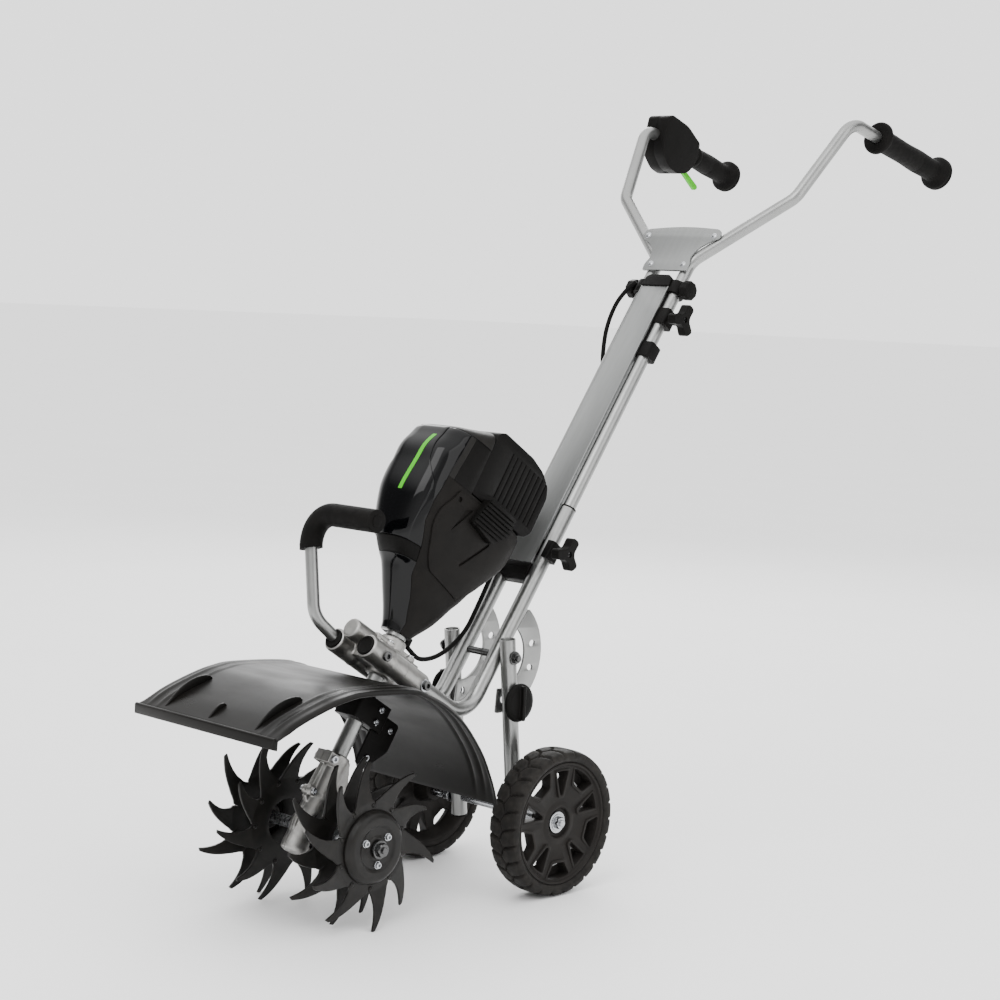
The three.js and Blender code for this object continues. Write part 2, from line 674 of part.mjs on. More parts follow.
const LATCH = { half: 18, low: 312, travel: 3 };
function battery() {
  const { front, back, low } = BATTERY;
  const outline = [
    [front, low], [82, low], [back, 246], [back, 300], [84, 314], [64, 326], [34, 331],
    [front + 6, 331], [front, 326],
  ];
  return carve(prismX(outline, -HEAD.half + 2, HEAD.half - 2, 5), {
    add: [box(-TONGUE.half, TONGUE.half, front - TONGUE.depth, front + 10, TONGUE.low, 316)],
    cut: [box(-LATCH.half - GAP, LATCH.half + GAP, 60, 120, LATCH.low - LATCH.travel - GAP, 400)],
  });
}

function batteryLatch() {
  const outline = [[61, LATCH.low], [86, LATCH.low], [82, LATCH.low + 5], [61, LATCH.low + 16]];
  return prismX(outline, -LATCH.half, LATCH.half, 1);
}

const MOTOR = { low: 138, high: 190, stator: 37, rotor: 22, bore: 4.4 };

function motorStator() {
  const profile = tubeProfile(MOTOR.stator, MOTOR.rotor + 1, MOTOR.low, MOTOR.high);
  const slots = Array.from({ length: 6 }, (_, i) =>
    rodZ(5, MOTOR.low - 5, MOTOR.high + 5, 29, 0, 8).rotateZ((Math.PI / 3) * i));
  return carve(turnedZ(profile, 18), { cut: slots });
}

function motorRotor() {
  return turnedZ(tubeProfile(MOTOR.rotor, MOTOR.bore, MOTOR.low - 4, MOTOR.high + 4), 16);
}

function controller() {
  const fins = Array.from({ length: 6 }, (_, i) => box(-28 + i * 10, -24 + i * 10, 66, 74, 196, 222));
  return carve(box(-32, 32, 52, 67, 194, 224), { add: fins });
}

function bearing(z) {
  return turnedZ(tubeProfile(DRIVE_TUBE.inner - GAP, SHAFT_RADIUS + GAP, z, z + 6), 20);
}

// ---------------------------------------------------------------- handle panel and clamps

const PANEL = { half: 26, low: 53, high: 530, face: -14.9, back: 10 };

function panel() {
  const plate = [
    [-PANEL.half, PANEL.face], [PANEL.half, PANEL.face], [PANEL.half, -11.7], [18, -11.7],
    [18, PANEL.back], [-18, PANEL.back], [-18, -11.7], [-PANEL.half, -11.7],
  ];
  const outline = shapeOf(plate);
  const channel = [[-15.5, -8.5], [-15.5, 7.5], [15.5, 7.5], [15.5, -8.5]];
  outline.holes.push(new THREE.Path(channel.map(([x, y]) => v2(x, y))));
  return prismZ(outline, PANEL.low, PANEL.high);
}

function tubeNotches(radius, z0, z1) {
  return SIDES.map(([, side]) => rodZ(radius + GAP, z0 - 10, z1 + 10, TUBE_X * side, 0, 20));
}

function lowerPanelCap() {
  const [low, high] = [PANEL.low - 24, PANEL.low - GAP];
  const body = prismX([[-15, high], [-15, low + 12], [-6, low], [10, low], [10, high]], -26, 26);
  return carve(body, { cut: tubeNotches(LOWER_TUBE.outer, low, high) });
}

function upperPanelCap() {
  const [low, high] = [PANEL.high + GAP, PANEL.high + 20];
  const outline = [[-27, low], [27, low], [22, high], [-22, high]];
  return carve(prismY(outline, -15.5, 12), { cut: tubeNotches(UPPER_TUBE.outer, low, high) });
}

// A clamp block round the left tube, beside the panel; the cable passes on the right.
const CLAMP = { inner: 18.8, outer: TUBE_X + 14, front: -11, rear: 13, length: 26 };
function tubeClamp(middle, radius) {
  const { inner, outer, front, rear, length } = CLAMP;
  const [low, high] = [middle - length / 2, middle + length / 2];
  const outline = [[inner, front], [outer, front], [outer, rear], [inner, rear]];
  return carve(prismZ(outline, low, high), { cut: tubeNotches(radius, low, high) });
}

// Three-lobed hand knob, its axis along X, the screw pointing inwards.
const KNOB = { x: 54, mean: 16, lobe: 7, collar: 8, low: 80, high: 481 };
function lobeKnob() {
  const steps = 30;
  const outline = Array.from({ length: steps }, (_, i) => {
    const angle = (2 * Math.PI * i) / steps;
    const radius = KNOB.mean + KNOB.lobe * Math.cos(3 * angle);
    return [radius * Math.cos(angle), radius * Math.sin(angle)];
  });
  return carve(prismX(outline, 6, 20, 2), {
    add: [rodX(KNOB.collar, 0, 8), rodX(4, CLAMP.outer - KNOB.x + GAP, 1, 0, 0, 12)],
  });
}

// ---------------------------------------------------------------- handlebar

const BAR = { elbow: 160, high: 197, grip: 205 };
const Y_PLATE = { low: 560, high: 636 };

function upperBar(side) {
  const elbow = fromHandle(0, 2, 706);
  const corners = [
    fromHandle(TUBE_X * side, 0, LOWER_TUBE_TOP - HANDLE_TRAVEL - HANDLE_INSERTION),
    fromHandle(TUBE_X * side, 0, 585),
    v3(BAR.elbow * side + 3 * side, elbow.y, elbow.z),
    v3(BAR.high * side, 506, 1086),
    v3(BAR.grip * side, 728, 1028),
  ];
  return bentTube(corners, 32, UPPER_TUBE.outer, UPPER_TUBE.inner);
}

function yPlate() {
  const outline = new THREE.Shape();
  outline.moveTo(-40, Y_PLATE.low);
  outline.lineTo(40, Y_PLATE.low);
  outline.quadraticCurveTo(42, 596, 74, Y_PLATE.high - 14);
  outline.lineTo(68, Y_PLATE.high);
  outline.quadraticCurveTo(0, Y_PLATE.high - 14, -68, Y_PLATE.high);
  outline.lineTo(-74, Y_PLATE.high - 14);
  outline.quadraticCurveTo(-42, 596, -40, Y_PLATE.low);
  return prismY(outline, -13, -10);
}

// Grips follow the bars' rear run: origin at the outer end, local z back along the bar.
function gripFrame(side) {
  const end = v3(BAR.grip * side, 728, 1028);
  const start = v3(BAR.high * side, 506, 1086);
  const frame = new THREE.Group();
  frame.position.copy(end);
  frame.quaternion.setFromUnitVectors(v3(0, 0, 1), start.sub(end).normalize());
  ground.add(frame);
  return frame;
}

const GRIP_LENGTH = { left: 165, right: 110 };
const GRIP_FLANGE = { left: 8, right: 1 };
const GRIP_BORE = UPPER_TUBE.outer + GAP;

function grip(length, flange) {
  const r = GRIP_RADIUS;
  const profile = [
    [0, -8], [r + 6, -8], [r + 9, -4], [r + 9, 5], [r + 6, 8], [r, 12], [r + 1, 60], [r - 1, 90],
    [r, length - 14],
    [r + flange, length - 10], [r + flange, length - 2], [r + flange - 2, length], [GRIP_BORE, length],
    [GRIP_BORE, -2], [0, -2], [0, -8],
  ];
  return turnedZ(profile, 14);
}

// The trigger housing starts just past the right grip; its lower lobe holds the trigger's pivot.
const HOUSING = { half: 20, start: GRIP_LENGTH.right + 2, end: 206 };
const TRIGGER = { half: 2.8, slot: 3.5 };
const LOCKOUT = { half: 5, low: 148, high: 166, top: 38 };

function triggerHousing() {
  const { half, start, end } = HOUSING;
  const outline = [
    [-16, start], [18, start], [22, 124], [33, 150], [36, 196], [30, end], [-10, end], [-30, 200],
    [-46, 176], [-48, 152], [-38, 128],
  ];
  const lockoutSlot = LOCKOUT.half + GAP + 0.1;
  return carve(prismX(outline, -half, half, 5), {
    cut: [
      rodZ(GRIP_BORE, start - 10, end + 10, 0, 0, 20),
      box(-TRIGGER.slot, TRIGGER.slot, -60, -10, start - 5, 162),
      box(-lockoutSlot, lockoutSlot, 19, 60, LOCKOUT.low - 2, LOCKOUT.high + 2),
    ],
  });
}

function trigger() {
  const outline = [
    [-16, 156], [-24, 154], [-34, 120], [-51, 79], [-46, 73], [-42, 75], [-27, 118], [-14, 142],
  ];
  return prismX(outline, -TRIGGER.half, TRIGGER.half);
}

function lockoutButton() {
  const { half, low, high, top } = LOCKOUT;
  return prismX([[24, low], [top, low + 2], [top, high - 2], [24, high]], -half, half);
}

// ---------------------------------------------------------------- transport wheels

function legTube(side) {
  const x = LEG.x * side;
  const unit = [Math.cos(LEG_DIRECTION), Math.sin(LEG_DIRECTION)];
  const at = (distance) => v3(x, PIVOT.y + unit[0] * distance, PIVOT.z + unit[1] * distance);
  const length = Math.hypot(AXLE.y - PIVOT.y, AXLE.z - PIVOT.z);
  const tube = bentTube([at(-LEG.above), at(length + LEG.below)], 1, LEG.outer, LEG.inner, 12);
  const lock = at(LOCK_RADIUS);
  return carve(tube, {
    cut: [
      rodX(PIVOT_ROD + 2 * GAP, x - 20, x + 20, PIVOT.y, PIVOT.z, 8),
      rodX(AXLE.radius + 2 * GAP, x - 20, x + 20, AXLE.y, AXLE.z, 8),
      rodX(LOCK_PIN + 2 * GAP, x - 20, x + 20, lock.y, lock.z, 8),
    ],
  });
}

// Spring pin with a round knob: the pin runs through the leg up to a hole in the quadrant plate.
function lockPin(side) {
  const [y, z] = lockHole(0);
  const knob = LEG.x + LEG.outer + 1;
  const pin = rodX(LOCK_PIN, QUADRANT.inner + QUADRANT.thick + GAP, knob + 3, 0, 0, 12);
  const profile = [[0, 0], [25, 0], [27, 3], [27, 7], [24, 9], [0, 9]];
  const solid = carve(pin, {
    add: [turnedX(profile, 20).translate(knob, 0, 0), box(knob + 7, knob + 17, -2.5, 2.5, -20, 20)],
  });
  if (side < 0) solid.rotateZ(Math.PI);
  return solid.translate(0, y, z);
}

// Wheel pieces are centred on their own hub, outer face towards +X; heights count from that centre.
const WHEEL_HALF = WHEEL_WIDTH / 2;
const RIM = { outer: 83.8, bore: AXLE.radius + 0.3, hub: 20, hubFace: WHEEL_HALF - 15, hubBack: 1 - WHEEL_HALF };

function wheelAxle() {
  const reach = WHEEL_OUTER_X - 12;
  const hubInner = WHEEL_OUTER_X - WHEEL_HALF + RIM.hubBack - GAP;
  const spacer = LEG.x + LEG.outer + 1;
  const half = [[9, spacer], [9, hubInner], [AXLE.radius, hubInner], [AXLE.radius, reach], [0, reach]];
  const mirrored = half.map(([r, x]) => [r, -x]).reverse();
  const profile = [...mirrored, [AXLE.radius, -spacer], [AXLE.radius, spacer], ...half];
  return turnedX(profile, 14).translate(0, AXLE.y, AXLE.z);
}

// A capped hub nut with a washer flange; it hides the end of the axle.
function axleNut(side) {
  const profile = [
    [RIM.bore, 0], [15, 0], [15, 2], [9.5, 2], [9.5, 9], [0, 9], [0, 6], [RIM.bore, 6], [RIM.bore, 0],
  ];
  const face = WHEEL_OUTER_X - WHEEL_HALF + RIM.hubFace + GAP;
  const nut = turnedX(profile, 12).translate(face, 0, 0);
  if (side < 0) nut.rotateZ(Math.PI);
  return nut.translate(0, AXLE.y, AXLE.z);
}

function wheelRim() {
  const back = WHEEL_HALF - 23;
  const web = [
    [RIM.bore, RIM.hubBack], [RIM.hub - 4, RIM.hubBack], [RIM.hub, back], [66, back],
    [74, 4 - WHEEL_HALF], [RIM.outer, 3 - WHEEL_HALF], [RIM.outer, WHEEL_HALF - 4], [78, WHEEL_HALF - 4],
    [74, WHEEL_HALF - 10], [RIM.hub + 8, WHEEL_HALF - 12], [RIM.hub, RIM.hubFace],
    [RIM.bore, RIM.hubFace], [RIM.bore, RIM.hubBack],
  ];
  return turnedX(web, 28);
}

function tyre() {
  const inner = RIM.outer + GAP;
  const side = WHEEL_HALF - 4; // half-width where the tyre sits on the rim
  const profile = [
    [inner, -side], [inner + 6, -WHEEL_HALF], [WHEEL_RADIUS - 3, 1 - WHEEL_HALF],
    [WHEEL_RADIUS, 6 - WHEEL_HALF], [WHEEL_RADIUS, WHEEL_HALF - 6], [WHEEL_RADIUS - 3, WHEEL_HALF - 1],
    [inner + 6, WHEEL_HALF], [inner, side], [inner, -side],
  ];
  return turnedX(profile, 32);
}

// ---------------------------------------------------------------- power cable

// From the underside of the head, round the right tube, up behind the panel, to its upper cap.
function powerCable() {
  const wrap = [-95, -140, -185, -230, -262].map((degrees, i) => {
    const angle = rad(degrees);
    const off = LOWER_TUBE.outer + POWER_CABLE + 2;
    return fromHandle(-TUBE_X + off * Math.cos(angle), off * Math.sin(angle), 32 + 30 * i);
  });
  return cable([
    fromDrive(0, 22, 45), fromDrive(0, 22, 30), v3(-1, -158, 329), v3(-4, -137, 316), v3(-9, -104, 315),
    v3(-14, -70, 325), v3(-18, -38, 345), v3(-24, -12, 372),
    ...wrap,
    fromHandle(-28, 18, 200), fromHandle(-27, 18, 260), fromHandle(-28, 18, 330),
    fromHandle(-38, 15, 375), fromHandle(-52, 4, 415), fromHandle(-58, -8, 455), fromHandle(-54, -17, 492),
    fromHandle(-44, -19, 520), fromHandle(-34, -19, 532),
  ], POWER_CABLE, 48);
}

// ---------------------------------------------------------------- assembly

for (const [name, side] of SIDES) {
  place(ground, `frame_tube_${name}`, frameTube(side), satinSilver);
  place(ground, `quadrant_plate_${name}`, quadrantPlate(side), satinSilver);
  place(ground, `leg_tube_${name}`, legTube(side), satinSilver);
  place(ground, `lock_pin_${name}`, lockPin(side), mattBlack);
  place(ground, `axle_nut_${name}`, axleNut(side), zinc);
  place(ground, `handlebar_${name}`, upperBar(side), satinSilver);
  place(drive, `gearbox_half_${name}`, gearboxHalf(side), castAluminium);
  place(drive, `motor_shell_${name}`, side > 0 ? ventedShell() : motorShell(side), mattBlack);
}
place(ground, "pivot_rod", pivotRod(), zinc);
place(ground, "wheel_axle", wheelAxle(), zinc);

for (const [name, side] of SIDES) {
  const wheel = new THREE.Group();
  wheel.position.set((WHEEL_OUTER_X - WHEEL_HALF) * side, AXLE.y, AXLE.z);
  if (side < 0) wheel.rotation.z = Math.PI;
  ground.add(wheel);
  place(wheel, `wheel_rim_${name}`, wheelRim(), mattBlack);
  place(wheel, `tyre_${name}`, tyre(), rubber);
}

place(drive, "clamp_front", castingHalf(false), castAluminium);
place(drive, "clamp_rear", castingHalf(true), castAluminium);
place(drive, "drive_tube", driveTube(), satinSilver);
place(drive, "shaft_bearing", bearing(-160), steel);
place(drive, "worm_shaft", wormShaft(), steel);
place(drive, "motor_rotor", motorRotor(), steel);
place(drive, "motor_stator", motorStator(), copper);
place(drive, "controller", controller(), circuitGreen);
place(drive, "motor_cover", motorCover(), glossBlack);
place(drive, "battery_bay", batteryBay(), mattBlack);
place(drive, "battery", battery(), darkGrey);
place(drive, "battery_latch", batteryLatch(), darkGrey);
place(ground, "carry_tube", carryHandleTube(), satinSilver);
place(ground, "carry_grip", carryGrip(), rubber);
place(ground, "fender", fender(), mattBlack);
place(drive, "fender_bracket", fenderBracket(), mattBlack);
place(ground, "power_cable", powerCable(), rubber);

const tines = new THREE.Group();
tines.position.copy(TINE_AXLE);
ground.add(tines);
place(tines, "tine_shaft", tineShaft(), steel);
for (const [name, side] of SIDES) {
  for (const [row, x] of [["outer", TINE_DISC_X[0]], ["inner", TINE_DISC_X[1]]]) {
    const outward = row === "outer" ? side : -side;
    const disc = place(tines, `tine_disc_${row}_${name}`, tineDisc(outward), blackTine);
    disc.position.x = x * side;
    disc.rotation.x = row === "outer" ? 0 : rad(180 / TINE.blades);
    if (row === "outer") place(tines, `tine_hub_${name}`, tineHub(x * side, side), blackTine);
  }
}
const wheelOfWorm = place(drive, "worm_wheel", wormWheel(), steel);
wheelOfWorm.position.set(0, WORM_CENTRES, GEAR_ALONG_DRIVE);

place(handle, "panel", panel(), satinSilver);
place(handle, "panel_cap_lower", lowerPanelCap(), mattBlack);
place(handle, "panel_cap_upper", upperPanelCap(), mattBlack);
place(handle, "tube_clamp_lower", tubeClamp(KNOB.low, LOWER_TUBE.outer), mattBlack);
place(handle, "tube_clamp_upper", tubeClamp(KNOB.high, UPPER_TUBE.outer), mattBlack);
for (const end of ["low", "high"]) {
  const knob = place(handle, end === "low" ? "knob_lower" : "knob_upper", lobeKnob(), mattBlack);
  knob.position.set(KNOB.x, 0, KNOB[end]);
}
place(handle, "yoke_plate", yPlate(), satinSilver);

for (const [name, side] of SIDES) {
  const frame = gripFrame(side);
  place(frame, `grip_${name}`, grip(GRIP_LENGTH[name], GRIP_FLANGE[name]), rubber);
  if (name === "right") {
    place(frame, "trigger_housing", triggerHousing(), mattBlack);
    place(frame, "trigger", trigger(), limeGreen);
    place(frame, "lockout_button", lockoutButton(), mattBlack);
  }
}

// The part's origin lies on the ground, under the middle of its overall box.
const overall = new THREE.Box3().setFromObject(ground);
ground.position.y = -(overall.min.y + overall.max.y) / 2;

export default tiller;
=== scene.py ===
"""Looks of the battery cultivator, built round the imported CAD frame. Metres, +Z up.

Shapes are drawn in millimetres in a few local frames (ground, handle, drive, tines, wheels) and put
in place by the matrices below, which come from the record's joints. A shape is (vertices, faces)."""

import json
import math

import bmesh
import bpy
from mathutils import Matrix, Vector
from mathutils.geometry import tessellate_polygon

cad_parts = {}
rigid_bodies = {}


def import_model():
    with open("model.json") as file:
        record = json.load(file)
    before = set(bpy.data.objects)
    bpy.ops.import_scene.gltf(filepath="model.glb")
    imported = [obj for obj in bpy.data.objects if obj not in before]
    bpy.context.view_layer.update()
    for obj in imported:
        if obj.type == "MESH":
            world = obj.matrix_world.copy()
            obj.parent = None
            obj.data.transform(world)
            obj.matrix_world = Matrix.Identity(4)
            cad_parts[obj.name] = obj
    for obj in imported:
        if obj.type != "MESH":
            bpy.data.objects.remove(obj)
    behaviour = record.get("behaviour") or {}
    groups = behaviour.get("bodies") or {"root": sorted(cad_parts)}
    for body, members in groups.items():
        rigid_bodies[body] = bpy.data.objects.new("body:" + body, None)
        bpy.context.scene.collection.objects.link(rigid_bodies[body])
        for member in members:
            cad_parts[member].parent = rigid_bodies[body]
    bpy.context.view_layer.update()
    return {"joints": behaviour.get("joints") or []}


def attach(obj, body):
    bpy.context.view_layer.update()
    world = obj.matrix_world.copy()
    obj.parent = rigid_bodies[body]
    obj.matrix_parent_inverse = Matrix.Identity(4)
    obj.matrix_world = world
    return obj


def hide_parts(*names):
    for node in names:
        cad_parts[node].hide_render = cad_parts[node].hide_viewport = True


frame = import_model()
JOINTS = {joint["name"]: joint for joint in frame["joints"]}
SIDES = (("left", 1), ("right", -1))
MM = 0.001

# ---------------------------------------------------------------- driving dimensions, in mm

LOWER_TUBE = (11, 9.7)
UPPER_TUBE = (9.3, 7.8)
DRIVE_TUBE = 11
TUBE_GAP = 0.4  # between a tube and the part that holds it
TUBE_X = 31
STUB_HEIGHT = -15
LOWER_TUBE_TOP = 150
PIVOT_ALONG_HANDLE = -86.8
LEG_X = 54
LOCK_RADIUS = 62  # from the leg pivot to the lock pin and its holes
CARRY_BEND = 40
FENDER_HALF = 137
FENDER_RADIUS = 197
BLADE_BEND = 9
TREAD_LUGS = 26
TINE_TIP = 107.9
TINE_BLADES = 10
WORM_CENTRES = 22
GEAR_ALONG_DRIVE = -244.5
PANEL_ENDS = (53, 530)
HEAD_SIDES = 72
HEAD_WALL = 3
HEAD_REACH = 100  # further than the head goes to either side
WHEEL_HALF = 24
GRIP_RADIUS = 17
GRIP_LENGTH = {"left": 165, "right": 110}
CABLE_RADIUS = 3.2


# ---------------------------------------------------------------- frames

def millimetres(origin, up, across=(1, 0, 0)):
    """Matrix from millimetres in a frame with its z along `up` to metres in the row frame."""
    z = Vector(up).normalized()
    y = z.cross(Vector(across)).normalized()
    turn = Matrix((y.cross(z), y, z)).transposed().to_4x4()
    return Matrix.Translation(origin) @ turn @ Matrix.Scale(MM, 4)


def joint_point(name):
    return Vector(JOINTS[name]["pos_m"])


AXLE = joint_point("wheel_left_spin")
PIVOT = joint_point("leg_fold")
HANDLE_AXIS = Vector(JOINTS["handle_slide"]["axis"])
GROUND = millimetres((0, AXLE.y, 0), (0, 0, 1))
HANDLE = millimetres(PIVOT - HANDLE_AXIS * PIVOT_ALONG_HANDLE * MM, HANDLE_AXIS)
DRIVE = millimetres(joint_point("shaft_spin"), JOINTS["shaft_spin"]["axis"])
TINES = millimetres(joint_point("tine_spin"), (0, 0, 1))


def outward_frame(side, centre):
    """Frame at a centre in metres whose z points out to that side and whose x runs to the rear."""
    return millimetres(centre, (side, 0, 0), (0, 1, 0))


def at(base, origin, direction=(0, 0, 1), across=(1, 0, 0)):
    """Frame inside `base`, moved to origin, with its z along direction, still in mm."""
    z = Vector(direction).normalized()
    if abs(z.dot(Vector(across).normalized())) > 0.99:
        across = (0, 1, 0)
    y = z.cross(Vector(across)).normalized()
    turn = Matrix((y.cross(z), y, z)).transposed().to_4x4()
    return base @ Matrix.Translation(origin) @ turn


def sideways(base, origin, side=1):
    """Frame inside `base`, moved to origin, whose z points out to that side."""
    return at(base, origin, (side, 0, 0), (0, 1, 0))


def inside(base, point):
    """A row point in metres, in mm in that frame."""
    return base.inverted() @ Vector(point)


# Turns an outline in a frame's (y, z) plane so that it is swept along the frame's x.
ACROSS = Matrix(((0, 0, 1), (1, 0, 0), (0, 1, 0))).to_4x4()
# Turns an outline in a frame's (x, z) plane so that it is swept along the frame's -y.
FACING = Matrix(((1, 0, 0), (0, 0, -1), (0, 1, 0))).to_4x4()

# ---------------------------------------------------------------- shapes


def polar(radius, angle):
    return radius * math.cos(angle), radius * math.sin(angle)


def put(matrix, shape):
    verts, faces = shape
    return [matrix @ Vector(v) for v in verts], faces


def rounded(points, radius, steps=3, closed=True):
    """The polygon with each corner turned into an arc; short sides get a smaller arc."""
    result = []
    count = len(points)
    for i, point in enumerate(points):
        p = Vector(point)
        if not closed and i in (0, count - 1):
            result.append(p)
            continue
        a = Vector(points[i - 1]) - p
        b = Vector(points[(i + 1) % count]) - p
        reach = min(radius, a.length * 0.45, b.length * 0.45)
        start = p + a.normalized() * reach
        end = p + b.normalized() * reach
        for step in range(steps + 1):
            t = step / steps
            result.append(start * (1 - t) ** 2 + p * 2 * t * (1 - t) + end * t ** 2)
    return result


def ring_faces(count, sides, joined=False):
    """Faces between rings of that many points, and from the last ring to the first if joined."""
    faces = []
    for j in range(count if joined else count - 1):
        here, there = j * sides, (j + 1) % count * sides
        for i in range(sides):
            k = (i + 1) % sides
            faces.append((here + i, here + k, there + k, there + i))
    return faces


def lathe(profile, sides=48):
    """Solid turned about z from (radius, height) pairs; the ends are on the axis or meet."""
    verts = []
    for radius, height in profile:
        for i in range(sides):
            angle = 2 * math.pi * i / sides
            verts.append((*polar(radius, angle), height))
    return verts, ring_faces(len(profile), sides)


def rod(radius, low, high, edge=0.6, sides=32):
    """Round bar along z with softened edges."""
    profile = rounded([(0, low), (radius, low), (radius, high), (0, high)], edge, 2, closed=False)
    return lathe(profile, sides)


def pipe(outer, inner, low, high, edge=0.5, sides=40):
    corners = [(inner, low), (outer, low), (outer, high), (inner, high)]
    profile = rounded(corners, edge, 2)
    return lathe(profile + profile[:1], sides)


def prism(outline, low, high, holes=()):
    """Outline in the x-y plane, with any holes, swept from low to high."""
    loops = [[(p[0], p[1]) for p in loop] for loop in (outline, *holes)]
    flat = [p for loop in loops for p in loop]
    count = len(flat)
    verts = [(x, y, low) for x, y in flat] + [(x, y, high) for x, y in flat]
    caps = tessellate_polygon([[Vector((x, y, 0)) for x, y in loop] for loop in loops])
    faces = [tuple(c) for c in caps] + [tuple(i + count for i in reversed(c)) for c in caps]
    first = 0
    for loop in loops:
        for i in range(len(loop)):
            a, b = first + i, first + (i + 1) % len(loop)
            faces.append((a, b, b + count, a + count))
        first += len(loop)
    return verts, faces


def box(x0, x1, y0, y1, z0, z1):
    return prism([(x0, y0), (x1, y0), (x1, y1), (x0, y1)], z0, z1)


def bent_path(corners, bend, steps=10):
    """Points along straight runs joined by round bends of that radius."""
    points = [Vector(corners[0])]
    for i in range(1, len(corners) - 1):
        here = Vector(corners[i])
        before = (here - Vector(corners[i - 1])).normalized()
        after = (Vector(corners[i + 1]) - here).normalized()
        turn = before.angle(after)
        axis = before.cross(after).normalized()
        start = here - before * bend * math.tan(turn / 2)
        centre = start + axis.cross(before) * bend
        for step in range(steps + 1):
            points.append(centre + Matrix.Rotation(turn * step / steps, 3, axis) @ (start - centre))
    points.append(Vector(corners[-1]))
    return points


def smooth_path(points, steps=6):
    """Catmull-Rom curve through given points."""
    points = [Vector(p) for p in points]
    ends = [points[0] * 2 - points[1], *points, points[-1] * 2 - points[-2]]
    result = []
    for a, b, c, d in zip(ends, ends[1:], ends[2:], ends[3:]):
        for step in range(steps):
            t = step / steps
            result.append(((2 * b) + (c - a) * t + (2 * a - 5 * b + 4 * c - d) * t * t
                           + (3 * b - a - 3 * c + d) * t ** 3) / 2)
    return result + [points[-1]]


def sweep(points, radius, inner=0, sides=32):
    """Round bar or tube along a path, with rings that never twist."""
    count = len(points)
    tangent = [(points[min(i + 1, count - 1)] - points[max(i - 1, 0)]).normalized() for i in range(count)]
    normal = tangent[0].orthogonal().normalized()
    rings = []
    for i in range(count):
        normal = (normal - tangent[i] * normal.dot(tangent[i])).normalized()
        side = tangent[i].cross(normal)
        for ring_radius in ((radius, inner) if inner else (radius,)):
            arms = [normal * math.cos(t) + side * math.sin(t) for t in
                    (2 * math.pi * k / sides for k in range(sides))]
            rings.append([points[i] + arm * ring_radius for arm in arms])
    if not inner:
        return loft(rings)
    outer_rings, inner_rings = rings[0::2], rings[1::2]
    return loft(outer_rings + inner_rings[::-1] + outer_rings[:1], capped=False)


def loft(rings, capped=True):
    """Skin over rings of equal length, closed round each ring."""
    sides = len(rings[0])
    verts = [v for ring in rings for v in ring]
    faces = ring_faces(len(rings), sides)
    if capped:
        last = (len(rings) - 1) * sides
        faces.append(tuple(range(sides))[::-1])
        faces.append(tuple(last + i for i in range(sides)))
    return verts, faces


def grid(rows):
    """Open sheet over rows of equal length."""
    width = len(rows[0])
    verts = [v for row in rows for v in row]
    faces = [(j * width + i, j * width + i + 1, (j + 1) * width + i + 1, (j + 1) * width + i)
             for j in range(len(rows) - 1) for i in range(width - 1)]
    return verts, faces


def blend_value(table, x):
    """Value on straight lines between (x, value) pairs."""
    if x <= table[0][0]:
        return table[0][1]
    for (x0, y0), (x1, y1) in zip(table, table[1:]):
        if x <= x1:
            t = (x - x0) / (x1 - x0)
            return y0 + (y1 - y0) * t
    return table[-1][1]


# ---------------------------------------------------------------- objects


def solid(name, *shapes):
    """One object from placed shapes, with doubled points merged and faces turned outwards."""
    verts, faces = [], []
    for shape_verts, shape_faces in shapes:
        first = len(verts)
        verts += [Vector(v) for v in shape_verts]
        faces += [tuple(first + i for i in face) for face in shape_faces]
    mesh = bpy.data.meshes.new(name)
    mesh.from_pydata(verts, [], faces)
    bm = bmesh.new()
    bm.from_mesh(mesh)
    bmesh.ops.remove_doubles(bm, verts=bm.verts, dist=2e-6)
    bmesh.ops.dissolve_degenerate(bm, edges=bm.edges, dist=1e-7)
    bmesh.ops.recalc_face_normals(bm, faces=bm.faces)
    bm.to_mesh(mesh)
    bm.free()
    obj = bpy.data.objects.new(name, mesh)
    bpy.context.scene.collection.objects.link(obj)
    return obj


def settle(obj):
    """Turns the object's modifiers into its mesh."""
    bpy.context.view_layer.update()
    evaluated = obj.evaluated_get(bpy.context.evaluated_depsgraph_get())
    mesh = bpy.data.meshes.new_from_object(evaluated)
    obj.modifiers.clear()
    old = obj.data
    obj.data = mesh
    bpy.data.meshes.remove(old)
    return obj


def carve(obj, tool, operation="DIFFERENCE"):
    """Cuts the tool out of the object, or keeps or adds it, and removes the tool."""
    modifier = obj.modifiers.new("carve", "BOOLEAN")
    modifier.operation = operation
    modifier.solver = "MANIFOLD"
    modifier.object = tool
    settle(obj)
    bpy.data.objects.remove(tool)
    return obj


def cut(obj, place, shape, operation="DIFFERENCE"):
    """Carves the object with a shape put in a frame."""
    return carve(obj, solid("tool", put(place, shape)), operation)


def twin(obj, name):
    """A second object with a copy of the mesh."""
    other = obj.copy()
    other.data = obj.data.copy()
    other.name = name
    bpy.context.scene.collection.objects.link(other)
    return other


def both_ways(side, near, far):
    """Two distances out from the middle on that side, the lower one first."""
    return sorted((near * side, far * side))


def bevel(obj, width, segments=2, angle=32):
    modifier = obj.modifiers.new("bevel", "BEVEL")
    modifier.width = width * MM
    modifier.segments = segments
    modifier.limit_method = "ANGLE"
    modifier.angle_limit = math.radians(angle)
    modifier.use_clamp_overlap = True
    return settle(obj)


def melt(obj, voxel, rounds, factor=0.5):
    """Runs overlapping solids into one skin with soft fillets, as a casting or moulding has."""
    remesh = obj.modifiers.new("voxels", "REMESH")
    remesh.mode = "VOXEL"
    remesh.voxel_size = voxel * MM
    soften = obj.modifiers.new("soften", "SMOOTH")
    soften.iterations = rounds
    soften.factor = factor
    return settle(obj)


